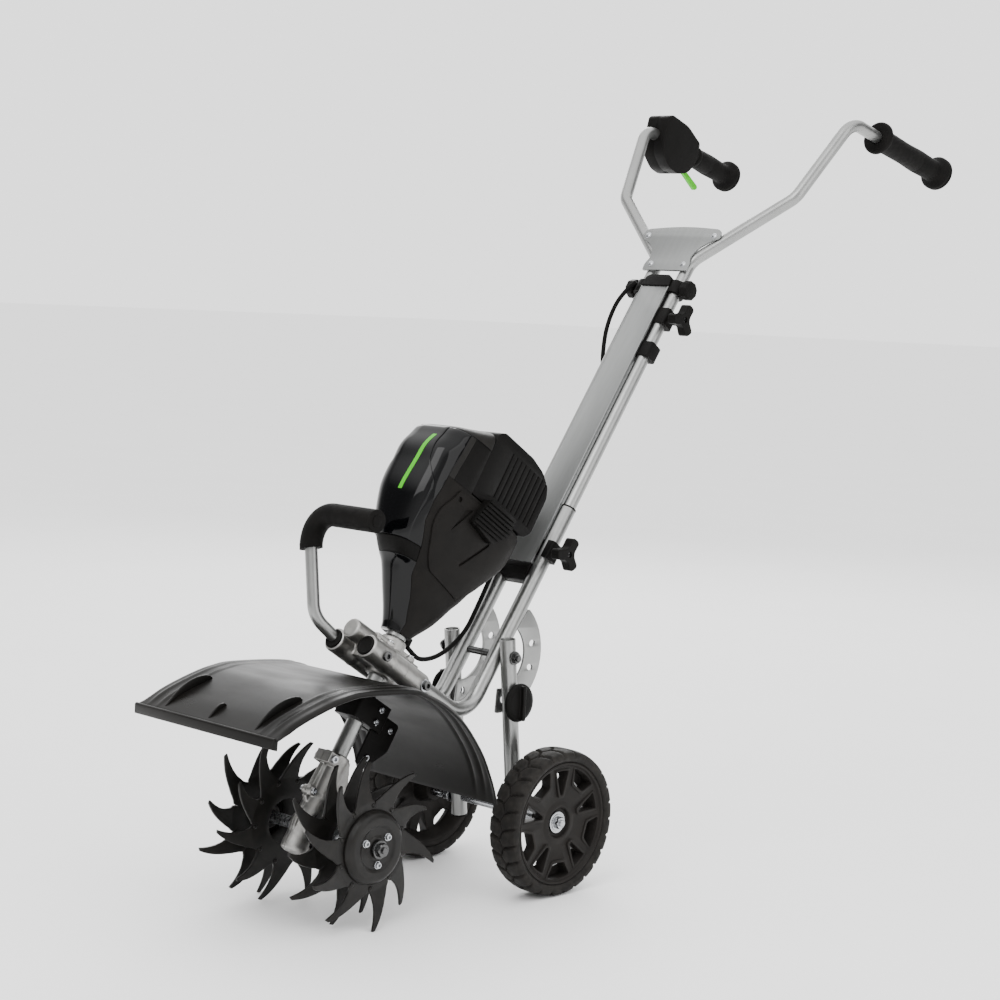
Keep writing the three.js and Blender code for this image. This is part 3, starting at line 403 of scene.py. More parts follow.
def thicken(obj, thickness, offset=-1):
    modifier = obj.modifiers.new("thicken", "SOLIDIFY")
    modifier.thickness = thickness * MM
    modifier.offset = offset
    return settle(obj)


def part(obj, body, finish, nodes=(), sharp=38):
    """Shades the finished mesh, gives it the material of its finish, and makes it ride on its CAD body."""
    material, slot = finish
    mesh = obj.data
    mesh.materials.clear()
    mesh.materials.append(material)
    mesh.shade_smooth()
    mesh.set_sharp_from_angle(angle=math.radians(sharp))
    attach(obj, body)
    if nodes:
        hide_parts(*nodes)
    return obj


# ---------------------------------------------------------------- materials


class Look:
    """A procedural material: colour mottle, roughness variation and layered bump."""

    def __init__(self, name, color, roughness, metallic=0.0, specular=0.5, coat=0.0):
        self.material = bpy.data.materials.new(name)
        self.material.use_nodes = True
        self.nodes = self.material.node_tree.nodes
        self.links = self.material.node_tree.links
        self.shader = self.nodes["Principled BSDF"]
        self.color = color
        self.shader.inputs["Base Color"].default_value = (*color, 1)
        self.shader.inputs["Roughness"].default_value = roughness
        self.shader.inputs["Metallic"].default_value = metallic
        self.shader.inputs["Specular IOR Level"].default_value = specular
        self.shader.inputs["Coat Weight"].default_value = coat
        self.shader.inputs["Coat Roughness"].default_value = 0.05
        self.roughness = roughness
        self.place = self.nodes.new("ShaderNodeTexCoord").outputs["Object"]

    def noise(self, scale, detail=4.0, stretch=None):
        where = self.place
        if stretch:
            mapping = self.nodes.new("ShaderNodeMapping")
            mapping.inputs["Scale"].default_value = stretch
            self.links.new(where, mapping.inputs["Vector"])
            where = mapping.outputs["Vector"]
        node = self.nodes.new("ShaderNodeTexNoise")
        node.inputs["Scale"].default_value = scale
        node.inputs["Detail"].default_value = detail
        self.links.new(where, node.inputs["Vector"])
        return node.outputs["Fac"]

    def cells(self, scale, randomness=1.0):
        node = self.nodes.new("ShaderNodeTexVoronoi")
        node.inputs["Scale"].default_value = scale
        node.inputs["Randomness"].default_value = randomness
        self.links.new(self.place, node.inputs["Vector"])
        return node.outputs["Distance"]

    def mottle(self, amount, scale=60, tint=(1.0, 1.0, 1.0), stretch=None):
        """The colour drifts between two close tones."""
        ramp = self.nodes.new("ShaderNodeValToRGB")
        low = [c * (1 - amount) for c in self.color]
        high = [min(1.0, c * (1 + amount) * t) for c, t in zip(self.color, tint)]
        ramp.color_ramp.elements[0].position = 0.3
        ramp.color_ramp.elements[1].position = 0.7
        ramp.color_ramp.elements[0].color = (*low, 1)
        ramp.color_ramp.elements[1].color = (*high, 1)
        self.links.new(self.noise(scale, 5.0, stretch), ramp.inputs["Fac"])
        self.links.new(ramp.outputs["Color"], self.shader.inputs["Base Color"])
        return self

    def smear(self, amount, scale=90, stretch=None):
        """The roughness drifts, as handled and moulded surfaces do."""
        span = self.nodes.new("ShaderNodeMapRange")
        span.inputs["From Min"].default_value = 0.3
        span.inputs["From Max"].default_value = 0.7
        span.inputs["To Min"].default_value = max(0.02, self.roughness - amount)
        span.inputs["To Max"].default_value = min(1.0, self.roughness + amount)
        self.links.new(self.noise(scale, 4.0, stretch), span.inputs["Value"])
        self.links.new(span.outputs["Result"], self.shader.inputs["Roughness"])
        return self

    def bump(self, height, strength, distance=0.0005):
        """Adds one more layer of relief over those before it."""
        node = self.nodes.new("ShaderNodeBump")
        node.inputs["Strength"].default_value = strength
        node.inputs["Distance"].default_value = distance
        self.links.new(height, node.inputs["Height"])
        normal = self.shader.inputs["Normal"]
        if normal.is_linked:
            self.links.new(normal.links[0].from_socket, node.inputs["Normal"])
        self.links.new(node.outputs["Normal"], normal)
        return self


def satin_silver():
    look = Look("satin_silver", (0.29, 0.292, 0.287), 0.33, metallic=0.95)
    look.mottle(0.05, 30).smear(0.05, 220)
    return look.bump(look.noise(2600, 2.0), 0.18, 0.0002).material


def panel_silver():
    look = Look("panel_silver", (0.245, 0.25, 0.247), 0.38, metallic=0.95)
    along = (1.0, 0.08, 0.08)
    look.mottle(0.04, 160, stretch=along).smear(0.05, 500, stretch=along)
    return look.bump(look.noise(1800, 2.0, stretch=along), 0.12, 0.0002).material


def cast_aluminium():
    look = Look("cast_aluminium", (0.34, 0.336, 0.326), 0.42, metallic=0.95)
    look.mottle(0.09, 110, (1.0, 0.99, 0.97)).smear(0.09, 260)
    return look.bump(look.noise(1500, 4.0), 0.35, 0.0003).bump(look.noise(260), 0.15, 0.0006).material


def zinc():
    look = Look("zinc", (0.42, 0.428, 0.436), 0.24, metallic=1.0)
    look.mottle(0.08, 160, (1.0, 1.0, 1.03)).smear(0.07, 400)
    return look.bump(look.noise(1200), 0.06, 0.0003).material


def machined_steel(name, color):
    look = Look(name, color, 0.3, metallic=1.0)
    look.mottle(0.08, 200).smear(0.08, 500)
    return look.bump(look.noise(1600), 0.08, 0.0003).material


def tine_black():
    look = Look("tine_black", (0.0085, 0.0081, 0.0075), 0.36, specular=0.2)
    look.mottle(0.25, 70, (1.1, 1.05, 1.0)).smear(0.07, 150)
    return look.bump(look.noise(900), 0.16, 0.0005).bump(look.noise(2600, 2.0), 0.2, 0.0002).material


def gloss_black():
    look = Look("gloss_black", (0.0012, 0.0013, 0.0016), 0.08, specular=0.2, coat=0.05)
    look.mottle(0.2, 12).smear(0.02, 60)
    return look.bump(look.noise(24, 2.0), 0.02, 0.002).material


def textured_plastic(name, color, roughness, grain=1300, depth=0.35):
    look = Look(name, color, roughness, specular=0.07)
    look.mottle(0.14, 40, (1.05, 1.02, 1.0)).smear(0.05, 120)
    return look.bump(look.cells(grain), depth, 0.0003).bump(look.noise(180), 0.05, 0.001).material


def fender_black():
    look = Look("fender_black", (0.0045, 0.0043, 0.004), 0.34, specular=0.12)
    flow = (0.35, 1.0, 1.0)
    look.mottle(0.3, 14, (1.15, 1.08, 1.0), stretch=flow).smear(0.07, 30, stretch=flow)
    return look.bump(look.noise(1500, 2.0), 0.12, 0.0003).bump(look.noise(22, 3.0), 0.1, 0.002).material


def tyre_rubber():
    look = Look("tyre_rubber", (0.0125, 0.0118, 0.011), 0.62, specular=0.12)
    look.mottle(0.3, 90, (1.15, 1.1, 1.05)).smear(0.1, 160)
    return look.bump(look.noise(1200), 0.25, 0.0004).material


def grip_rubber():
    look = Look("grip_rubber", (0.0038, 0.0036, 0.0034), 0.66, specular=0.08)
    look.mottle(0.2, 80, (1.1, 1.05, 1.0)).smear(0.06, 150)
    return look.bump(look.cells(900, 0.6), 0.5, 0.0004).material


def bright_green():
    look = Look("bright_green", (0.055, 0.42, 0.006), 0.4, specular=0.25)
    look.mottle(0.06, 60).smear(0.05, 120)
    return look.bump(look.noise(1400), 0.06, 0.0002).material


def wound_copper():
    look = Look("wound_copper", (0.62, 0.27, 0.13), 0.35, metallic=1.0)
    look.mottle(0.15, 400).smear(0.08, 500)
    return look.bump(look.noise(900, stretch=(1, 1, 0.1)), 0.4, 0.0004).material


def circuit_board():
    look = Look("circuit_board", (0.03, 0.16, 0.06), 0.45)
    look.mottle(0.3, 300).smear(0.08, 200)
    return look.bump(look.cells(300), 0.3, 0.0005).material


# Each finish is a material and the slot it stands for.
SILVER = (satin_silver(), "satin_silver")
PANEL_SILVER = (panel_silver(), "satin_silver")
CAST = (cast_aluminium(), "cast_aluminium")
ZINC = (zinc(), "zinc_plate")
STEEL = (machined_steel("steel", (0.42, 0.43, 0.44)), "steel")
DARK_STEEL = (machined_steel("dark_steel", (0.10, 0.10, 0.10)), "steel")
BRONZE = (machined_steel("bronze", (0.50, 0.33, 0.14)), "bronze")
TINE_BLACK = (tine_black(), "tine_black")
GLOSS_BLACK = (gloss_black(), "gloss_black")
MATT_BLACK = (textured_plastic("matt_black", (0.0045, 0.0043, 0.004), 0.46), "matt_black")
SHELL_GREY = (textured_plastic("shell_grey", (0.0075, 0.0069, 0.0063), 0.44, 1500, 0.25), "matt_black")
# Lighter grey for the seam band and top rim: a painted highlight standing in for grazing light and studio
# reflection on the dark plastic.
PAINTED_SHEEN_GREY = (textured_plastic("painted_sheen_grey", (0.014, 0.0136, 0.013), 0.38, 1500, 0.25), "matt_black")
BATTERY_BLACK = (textured_plastic("battery_black", (0.004, 0.0038, 0.0036), 0.42, 900, 0.4), "battery_grey")
WHEEL_BLACK = (textured_plastic("wheel_black", (0.0145, 0.0134, 0.0124), 0.40, 1500, 0.2), "wheel_black")
FENDER_BLACK = (fender_black(), "fender_black")
TYRE_RUBBER = (tyre_rubber(), "tyre_black")
GRIP_RUBBER = (grip_rubber(), "grip_rubber")
GREEN = (bright_green(), "trigger_green")


def as_slot(finish, slot):
    """The same material in another slot."""
    return finish[0], slot


# ---------------------------------------------------------------- fasteners


def socket_screw(place, radius=4.0, height=3.5, socket=None):
    """Round head with a six-sided socket, standing on z = 0 of its frame."""
    socket = socket or radius * 0.55
    sides = 24
    rings = [(radius, 0, 0), (radius, height - 0.7, 0), (radius - 0.7, height, 0), (socket, height, 1),
             (socket, height * 0.35, 1), (0, height * 0.35, 0)]
    return put(place, turned_with_hex(rings, sides))


def hex_nut(place, across=6.5, height=6.0, stud=3.2):
    """Six-sided nut with a chamfered top and a stud end through it."""
    rings = [(across, 0, 1), (across, height - 1, 1), (across * 0.86, height, 0), (stud, height, 0),
             (stud, height + 2.5, 0), (stud - 0.8, height + 3.2, 0), (0, height + 3.2, 0)]
    return put(place, turned_with_hex(rings, 24))


def turned_with_hex(rings, sides):
    """Rings of (radius, height, six-sided or not), closed on the axis at both ends."""
    verts = []
    for radius, height, is_hex in [(0, rings[0][1], 0), *rings]:
        for i in range(sides):
            angle = 2 * math.pi * i / sides
            across = math.cos((angle % (math.pi / 3)) - math.pi / 6) if is_hex else 1
            r = radius * math.cos(math.pi / 6) / across if is_hex else radius
            verts.append((*polar(r, angle), height))
    return verts, ring_faces(len(rings) + 1, sides)


def washer(place, outer, inner, thick):
    return put(place, pipe(outer, inner, 0, thick, 0.3, 32))


# ---------------------------------------------------------------- handle and frame


def stub_corner(x):
    """Where the line along the drive frame's y meets the handle tubes' line."""
    near = inside(HANDLE, DRIVE @ Vector((x, 0, STUB_HEIGHT)))
    far = inside(HANDLE, DRIVE @ Vector((x, 100, STUB_HEIGHT)))
    return near.lerp(far, near.y / (near.y - far.y))


def frame_tubes():
    for name, side in SIDES:
        x = TUBE_X * side
        start = inside(HANDLE, DRIVE @ Vector((x, -26, STUB_HEIGHT)))
        path = bent_path([start, stub_corner(x), Vector((x, 0, LOWER_TUBE_TOP))], 42, 14)
        tube = solid(f"visual_frame_tube_{name}", put(HANDLE, sweep(path, *LOWER_TUBE, sides=40)))
        part(bevel(tube, 0.5, 2), "root", SILVER, [f"frame_tube_{name}"])
        bush = put(at(HANDLE, (x, 0, LOWER_TUBE_TOP)), pipe(11.2, 9.5, 0.1, 2.4, 0.5))
        part(solid(f"tube_bush_{name}", bush), "root", MATT_BLACK)


def pivot_rod():
    reach = LEG_X + LOWER_TUBE[0] + 1
    pivot = sideways(GROUND, inside(GROUND, PIVOT))
    shapes = [put(pivot, rod(5, -reach - 2, reach + 2, 0.8))]
    for _, side in SIDES:
        end = sideways(GROUND, inside(GROUND, PIVOT) + Vector((reach * side, 0, 0)), side)
        shapes.append(washer(end, 9.5, 4, 1.6))
        shapes.append(hex_nut(at(end, (0, 0, 1.6)), 7.2, 5.2, 4.2))
    part(solid("visual_pivot_rod", *shapes), "root", as_slot(DARK_STEEL, "zinc_plate"), ["pivot_rod"])


def quadrant_plates():
    """Curved plate with oval lock holes, centred on the leg pivot."""
    pivot = inside(GROUND, PIVOT)
    centre = (pivot.y, pivot.z)
    start, end, count = math.radians(-94.4), math.radians(49.6), 28
    turns = [start + (end - start) * i / count for i in range(count + 1)]

    def arc(radius, angles):
        return [(centre[0] + radius * math.cos(t), centre[1] + radius * math.sin(t)) for t in angles]

    outer, inner = 80, 46
    outline = rounded([*arc(outer, turns), *arc(inner, turns[::-1])], 7, 4)
    holes = []
    for i in range(4):
        turn = math.radians(-83.4 + 31.6 * i)
        middle = arc(LOCK_RADIUS, [turn])[0]
        slot = [(5.6 * math.cos(t), 4.6 * math.sin(t)) for t in (math.pi * k / 10 for k in range(20))]
        holes.append([(middle[0] + a * math.cos(turn) - b * math.sin(turn),
                       middle[1] + a * math.sin(turn) + b * math.cos(turn)) for a, b in slot])
    for name, side in SIDES:
        low, high = both_ways(side, 38, 41)
        plate = solid(f"visual_quadrant_{name}", put(GROUND @ ACROSS, prism(outline, low, high, holes)))
        path = [stub_corner(TUBE_X * side), Vector((TUBE_X * side, 0, LOWER_TUBE_TOP))]
        cut(plate, HANDLE, sweep(path, LOWER_TUBE[0] + 0.3))
        part(bevel(plate, 0.5, 2), "root", SILVER, [f"quadrant_plate_{name}"])


def legs():
    axle = inside(GROUND, AXLE)
    pivot = inside(GROUND, PIVOT)
    down = (Vector((0, axle.y - pivot.y, axle.z - pivot.z))).normalized()
    length = math.hypot(axle.y - pivot.y, axle.z - pivot.z)
    for name, side in SIDES:
        leg = at(GROUND, (LEG_X * side, pivot.y, pivot.z), down, (1, 0, 0))
        tube = solid(f"visual_leg_{name}", put(leg, pipe(11, 9.4, -25, length + 26, 0.6, 48)))
        part(tube, "wheel_legs", SILVER, [f"leg_tube_{name}"])
        cap = rounded([(0, 0), (9.3, 0), (9.3, 6), (11, 6), (11, 8.5), (0, 8.5)], 0.8, 2, closed=False)
        end = put(at(leg, (0, 0, length + 20)), lathe(cap, 40))
        part(solid(f"leg_cap_{name}", end), "wheel_legs", MATT_BLACK)
        lock_knob(name, side, pivot, down)


def lock_knob(name, side, pivot, down):
    """Fat round pull knob with a finger fin across it, on a short pin through the leg."""
    centre = Vector((0, pivot.y, pivot.z)) + down * LOCK_RADIUS
    knob = sideways(GROUND, (66 * side, centre.y, centre.z), side)
    body = [(0, 0), (19, 0), (26, 2.5), (27, 6), (25.5, 8.5), (20, 10.5), (0, 11)]
    shapes = [put(knob, lathe(rounded(body, 1.5, 3, closed=False), 56))]
    fin = rounded([(-3.2, -24), (3.2, -24), (2.6, 0), (3.2, 24), (-3.2, 24), (-2.6, 0)], 2.5, 4)
    shapes.append(put(knob, prism(fin, 6, 16.5)))
    for turn in range(4):
        angle = math.radians(45 + 90 * turn)
        place = at(knob, (*polar(16, angle), 7))
        shapes.append(put(place, rod(3.4, 0, 3.6, 1.2, 20)))
    obj = melt(solid(f"visual_lock_knob_{name}", *shapes), 0.7, 4)
    part(obj, f"lock_{name}", MATT_BLACK, [f"lock_pin_{name}"], sharp=60)
    pin = solid(f"lock_pin_steel_{name}", put(knob, rod(4, -24.4, 1, 0.8)))
    part(pin, f"lock_{name}", ZINC)


def handlebars():
    elbow = inside(GROUND, HANDLE @ Vector((0, 2, 706)))
    for name, side in SIDES:
        to_ground = GROUND.inverted() @ HANDLE
        x = TUBE_X * side
        corners = [to_ground @ Vector((x, 0, -20)), to_ground @ Vector((x, 0, 585)),
                   Vector((163 * side, elbow.y, elbow.z)), Vector((197 * side, 506, 1086)),
                   Vector((205 * side, 728, 1028))]
        path = bent_path(corners, 32, 14)
        tube = solid(f"visual_handlebar_{name}", put(GROUND, sweep(path, *UPPER_TUBE, sides=36)))
        part(tube, "handlebar", SILVER, [f"handlebar_{name}"])


def yoke_plate():
    """Y-shaped front plate with a lightly rolled edge and four dome rivets."""
    side_curve = [(42, 560), (43, 571), (39, 582), (40, 592), (46, 602), (58, 612), (74, 622), (71, 633)]
    right = smooth_path([(x, z, 0) for x, z in side_curve], 4)
    top = [(66 - 132 * i / 16, 636 + 4 * math.sin(math.pi * i / 16), 0) for i in range(17)]
    outline = [(p[0], p[1]) for p in right] + [(p[0], p[1]) for p in top]
    outline += [(-p[0], p[1]) for p in right[::-1]]
    plate = solid("visual_yoke_plate", put(HANDLE @ FACING, prism(rounded(outline, 3, 2), 10.2, 13)))
    part(bevel(plate, 0.7, 3, 40), "handlebar", PANEL_SILVER, ["yoke_plate"])
    dome = [(0, -0.4), (5.2, -0.4), (5.2, 0.2), (4.4, 1.2), (2.6, 2.0), (0, 2.3)]
    rivets = [put(at(HANDLE, (x * s, -13, z), (0, -1, 0)), lathe(dome, 28))
              for x, z in ((31, 571.5), (63, 624)) for _, s in SIDES]
    part(solid("yoke_rivets", *rivets), "handlebar", ZINC, sharp=60)


def handle_panel():
    """Extruded aluminium cover with narrow raised edges and a black rail down each side."""
    section = [(-26, -11.7), (-26, -14.9), (-24.2, -14.9), (-24.2, -14.2), (24.2, -14.2), (24.2, -14.9),
               (26, -14.9), (26, -11.7), (18, -11.7), (18, 10), (-18, 10), (-18, -11.7)]
    panel = solid("visual_panel", put(HANDLE, prism(section, *PANEL_ENDS)))
    part(bevel(panel, 0.35, 2), "root", PANEL_SILVER, ["panel"])
    for side in (-1, 1):
        rail = rounded([(19.2, -11), (26.6, -11), (26.6, -6), (24, 4), (19.2, 4)], 1.2, 2)
        strip = prism([(x * side, y) for x, y in rail], 418, 528)
        obj = solid(f"panel_rail_{'left' if side > 0 else 'right'}", put(HANDLE, strip))
        tube_bores(obj, 9.9, 400, 540)
        part(bevel(obj, 0.5, 2), "root", MATT_BLACK)


def tube_bores(obj, radius, low, high):
    for _, side in SIDES:
        cut(obj, at(HANDLE, (TUBE_X * side, 0, 0)), rod(radius, low, high))
    return obj


def panel_caps():
    lower = rounded([(-15, 52.6), (-15, 42), (-11, 33), (-4, 28.6), (10, 28.6), (10, 52.6)], 2, 3)
    body = solid("visual_cap_lower", put(HANDLE @ ACROSS, prism(lower, -26, 26)))
    cut(body, HANDLE, box(-30, 30, -17, -14.2, 43.4, 44.4))
    tube_bores(body, LOWER_TUBE[0] + TUBE_GAP, 10, 70)
    part(bevel(body, 0.8, 3), "root", MATT_BLACK, ["panel_cap_lower"])
    upper = rounded([(-27, 530.4), (27, 530.4), (24, 546), (18, 550), (-18, 550), (-24, 546)], 2.5, 3)
    body = solid("visual_cap_upper", put(HANDLE @ FACING, prism(upper, -12, 15.5)))
    tube_bores(body, UPPER_TUBE[0] + TUBE_GAP, 520, 560)
    part(bevel(body, 1.0, 3), "root", MATT_BLACK, ["panel_cap_upper"])
    for name, side in SIDES:
        side_knob(name, side)


def side_knob(name, side):
    """Small round fluted knob beside the upper cap, on a lug that wraps the tube."""
    collar = put(at(HANDLE, (TUBE_X * side, 0, 0)), pipe(14, UPPER_TUBE[0] + TUBE_GAP, 522, 543, 1.2))
    part(solid(f"cap_collar_{name}", collar), "root", MATT_BLACK)
    place = sideways(HANDLE, (41.3 * side, 0, 533), side)
    rings = []
    for radius, height in ((4, 3.4), (13, 3.4), (14.6, 5.2), (14.6, 15), (13, 17), (5, 17.6)):
        flute = 0.9 if radius > 12 else 0
        ring = []
        for k in range(72):
            turn = 2 * math.pi * k / 72
            reach = radius - flute * abs(math.sin(4.5 * turn))
            ring.append(Vector((*polar(reach, turn), height)))
        rings.append(ring)
    shapes = [put(place, loft(rings)), put(place, rod(5, -1, 4))]
    part(solid(f"side_knob_{name}", *shapes), "root", MATT_BLACK)


def tube_clamp(name, node, low, high, radius):
    """Near-side clamp block with rounded corners and a split."""
    outline = rounded([(18.9, -11), (45, -11), (45, 13), (18.9, 13)], 5, 5)
    body = solid(name, put(HANDLE, prism(outline, low, high)))
    cut(body, at(HANDLE, (TUBE_X, 0, 0)), rod(radius + TUBE_GAP, low - 5, high + 5))
    cut(body, HANDLE, box(30.5, 31.5, 8, 20, low - 5, high + 5))
    part(bevel(body, 0.9, 3), "root", MATT_BLACK, [node] if node else [])


def lobe_knob(name, node, body, along):
    """Y-shaped hand knob: three square-ended lobes round a hub, on a long collar."""
    centre = sideways(HANDLE, (54, 0, along))
    outline = []
    for lobe in range(3):
        turn = math.radians(90 + 120 * lobe)
        for x, y in ((7.2, 8), (7.6, 21), (4.6, 24), (-4.6, 24), (-7.6, 21), (-7.2, 8)):
            outline.append((x * math.cos(turn - math.pi / 2) - y * math.sin(turn - math.pi / 2),
                            x * math.sin(turn - math.pi / 2) + y * math.cos(turn - math.pi / 2)))
    shapes = [put(centre, prism(rounded(outline, 2.5, 4), 6, 20)),
              put(centre, lathe([(0, -1), (9, -1), (9, 7), (0, 7)], 40))]
    obj = melt(solid(name, *shapes), 0.6, 5)
    cut(obj, centre, rod(4.2, 16, 24, 0.6))
    part(obj, body, MATT_BLACK, [node], sharp=50)
    screw = [put(centre, rod(4, -9, 0, 0.6)), socket_screw(at(centre, (0, 0, 15.6)), 3.8, 2.2)]
    part(solid(f"{name}_screw", *screw), body, DARK_STEEL)


# ---------------------------------------------------------------- clamp casting and carry handle


def along_drive(x, y, z=0):
    """Frame whose z runs along the drive frame's y, from a point of the drive frame."""
    return at(DRIVE, (x, y, z), (0, 1, 0))


def clamp_casting():
    """Web between two sleeves and the drive tube's barrel, with ribs, a boss and the carry bar's foot."""
    start, after = carry_corners()[:2]
    along = (after - start).normalized()
    shapes = [put(DRIVE, box(-31, 31, -46, 32, STUB_HEIGHT - 8, 5)), put(DRIVE, rod(18, -31, 25, 3)),
              put(DRIVE, box(-9, 9, -38, 36, -19, 17)), put(along_drive(0, -79, 2), rod(14, 0, 40, 3)),
              put(DRIVE, sweep([start - along * 6, start + along * 22], 13))]
    for _, side in SIDES:
        sleeve = along_drive(TUBE_X * side, -69, STUB_HEIGHT)
        shapes.append(put(sleeve, rod(16.6, 0, 118, 2.5, 40)))
        shapes.append(put(sleeve, rod(17.2, 42, 46, 1, 40)))
        shapes += [put(at(DRIVE, (20 * side, y, 0)), rod(6.5, 0, 12, 1.5)) for y in (-22, 22)]
        shapes.append(put(DRIVE, box(20 * side - 3, 20 * side + 3, -44, 30, 0, 8)))
    body = melt(solid("casting", *shapes), 1.1, 5)
    cut(body, DRIVE, rod(DRIVE_TUBE + TUBE_GAP, -60, 60))
    for _, side in SIDES:
        cut(body, along_drive(TUBE_X * side, -27, STUB_HEIGHT), rod(LOWER_TUBE[0] + TUBE_GAP, 0, 120))
    cut(body, DRIVE, sweep([start - along * 2, after], 8.9))
    return body


def clamp_halves():
    body = clamp_casting()
    for name, low, high in (("front", -140, 1.8), ("rear", 2.2, 120)):
        half = twin(body, f"visual_clamp_{name}")
        cut(half, DRIVE, box(-90, 90, low, high, -90, 90), "INTERSECT")
        part(half, "root", CAST, [f"clamp_{name}"], sharp=55)
    bpy.data.objects.remove(body)
    for name, side in SIDES:
        front = at(DRIVE, (TUBE_X * side, -68.4, STUB_HEIGHT), (0, -1, 0))
        cup = rounded([(0, 0), (13.4, 0), (13.4, 2.6), (11, 3.2), (10, 1.6), (0, 1.2)], 0.6, 2, closed=False)
        part(solid(f"sleeve_plug_{name}", put(front, lathe(cup, 40))), "root", MATT_BLACK)
        cross = at(DRIVE, (47 * side, -43, STUB_HEIGHT), (side, 0, 0))
        part(solid(f"sleeve_screw_{name}", socket_screw(cross, 6.6, 4.2)), "root", DARK_STEEL)
        rear = at(DRIVE, (47 * side, 42, STUB_HEIGHT), (side, 0, 0))
        part(solid(f"sleeve_washer_{name}", washer(rear, 8.6, 3, 1.6)), "root", ZINC)
        head = socket_screw(at(rear, (0, 0, 1.6)), 6.6, 4.4)
        part(solid(f"sleeve_bolt_{name}", head), "root", DARK_STEEL)
        top = [socket_screw(at(DRIVE, (20 * side, y, 11.6)), 4, 3.2) for y in (-22, 22)]
        part(solid(f"casting_screws_{name}", *top), "root", ZINC)


def carry_corners():
    """The carry bar's corners in the drive frame, from its foot in the casting to its far end."""
    to_drive = DRIVE.inverted() @ GROUND
    points = ((-50, -288, 379), (-79, -277, 514), (46, -277, 514))
    return [Vector((-23, -39, -20)), *(to_drive @ Vector(p) for p in points)]


def carry_handle():
    """Bent steel bar with a moulded rubber grip over its upper end."""
    corners = carry_corners()
    bar = bent_path(corners, CARRY_BEND, 16)
    tube = solid("visual_carry_tube", put(DRIVE, sweep(bar, 8.5, 7, 36)))
    part(tube, "root", SILVER, ["carry_tube"])
    along = (corners[-1] - corners[-2]).normalized()
    start = corners[-2].lerp(corners[-3], 0.3)
    path = bent_path([start, corners[-2], corners[-1] + along * 6], CARRY_BEND, 16)
    grip = solid("visual_carry_grip", put(DRIVE, sweep(path, 15.3, sides=48)))
    bevel(grip, 3.4, 5, 50)
    room = bent_path([corners[-3], corners[-2], corners[-1] + along * 0.4], CARRY_BEND, 16)
    cut(grip, DRIVE, sweep(room, 8.9, sides=36))
    part(grip, "root", GRIP_RUBBER, ["carry_grip"], sharp=50)
    end = at(DRIVE, corners[-1] + along * 5.6, along)
    button = put(end, lathe([(0, 0), (7.5, 0), (7.5, 1.2), (6, 1.8), (0, 2)], 40))
    part(solid("carry_grip_button", button), "root", GRIP_RUBBER)


# ---------------------------------------------------------------- drive tube and gearbox


def drive_tube():
    profile = [(9, -170), (11, -170), (11, 26.4), (14, 26.4), (14, 52), (9, 52)]
    soft = rounded(profile, 0.6, 2)
    tube = solid("visual_drive_tube", put(DRIVE, lathe(soft + soft[:1], 48)))
    part(tube, "root", SILVER, ["drive_tube"])


def gearbox_halves():
    """Two cast halves with a bright double rim at the seam, bolted together round the worm drive."""
    centre = Vector((0, WORM_CENTRES, GEAR_ALONG_DRIVE))
    across = sideways(DRIVE, centre)
    shapes = [put(across, rod(36, -17, 17, 4, 64)), put(across, rod(17, -31, 31, 2)),
              put(across, rod(20, -20, 20, 2)), put(DRIVE, rod(16.4, -258, -147, 2, 40)),
              put(DRIVE, rod(18.5, -286, -204, 6, 40)), put(DRIVE, box(-14, 14, -26, -8, -166, -150))]
    rim = [(-21, -148), (-25, -216)]
    rim += [(centre.y + 44 * math.cos(t), centre.z + 44 * math.sin(t)) for t in
            (math.radians(150 + 245 * i / 32) for i in range(33))]
    rim += [(21, -148)]
    shapes.append(put(DRIVE @ ACROSS, prism(rim, -4, 4)))
    for y, z in ((-21, -206), (centre.y - 30, centre.z - 36), (centre.y + 36, centre.z - 28),
                 (centre.y + 27, centre.z + 42)):
        shapes.append(put(at(DRIVE, (0, y, z), (1, 0, 0)), rod(6.5, -9, 9, 1.5)))
    body = melt(solid("gearbox", *shapes), 1.0, 4)
    cut(body, across, rod(35, -13, 13, 2))
    cut(body, across, rod(8.5, -50, 50))
    cut(body, DRIVE, rod(DRIVE_TUBE + TUBE_GAP, -171, -140))
    cut(body, DRIVE, rod(10.6, -266, -160))
    for name, side in SIDES:
        half = twin(body, f"visual_gearbox_half_{name}")
        low, high = both_ways(side, 0.3, 60)
        cut(half, DRIVE, box(low, high, -90, 120, -330, -100), "INTERSECT")
        part(half, "root", CAST, [f"gearbox_half_{name}"], sharp=55)
        face = sideways(DRIVE, centre + Vector((17 * side, 0, 0)), side)
        ring = solid(f"gearbox_ring_{name}", put(face, pipe(31, 21.5, -0.4, 0.7, 0.2, 64)))
        part(ring, "root", as_slot(DARK_STEEL, "cast_aluminium"))
        seal = solid(f"gearbox_seal_{name}", put(face, pipe(13, 8.5, 12, 15.2, 0.6, 40)))
        part(seal, "root", ZINC)
        screws = [socket_screw(at(DRIVE, (x * side, y, z), (side, 0, 0)), r, 4) for x, y, z, r in
                  ((14, -18, -158, 5.5), (9, -21, -206, 4.6), (9, centre.y - 30, centre.z - 36, 4.4),
                   (9, centre.y + 36, centre.z - 28, 4.4), (9, centre.y + 27, centre.z + 42, 4.4))]
        part(solid(f"gearbox_screws_{name}", *screws), "root", ZINC)
    bpy.data.objects.remove(body)


# ---------------------------------------------------------------- tines

# Along a blade: radius, how far its middle is swept and how wide it is, as shares of the pitch.
BLADE = [(30, 0, 1), (50, 0, 1), (58, 0, 0.96), (61, -0.02, 0.76), (64, -0.04, 0.65), (75, -0.12, 0.4),
         (85, -0.2, 0.27), (95, -0.29, 0.176), (103, -0.37, 0.108), (107.9, -0.42, 0.066)]
BLADE_ROOT = 58
BLADE_ROWS = (30, 40, 50, 56, 58, 59.5, 61, 64, 69, 75, 80, 85, 90, 95, 99, 103, 107.5)


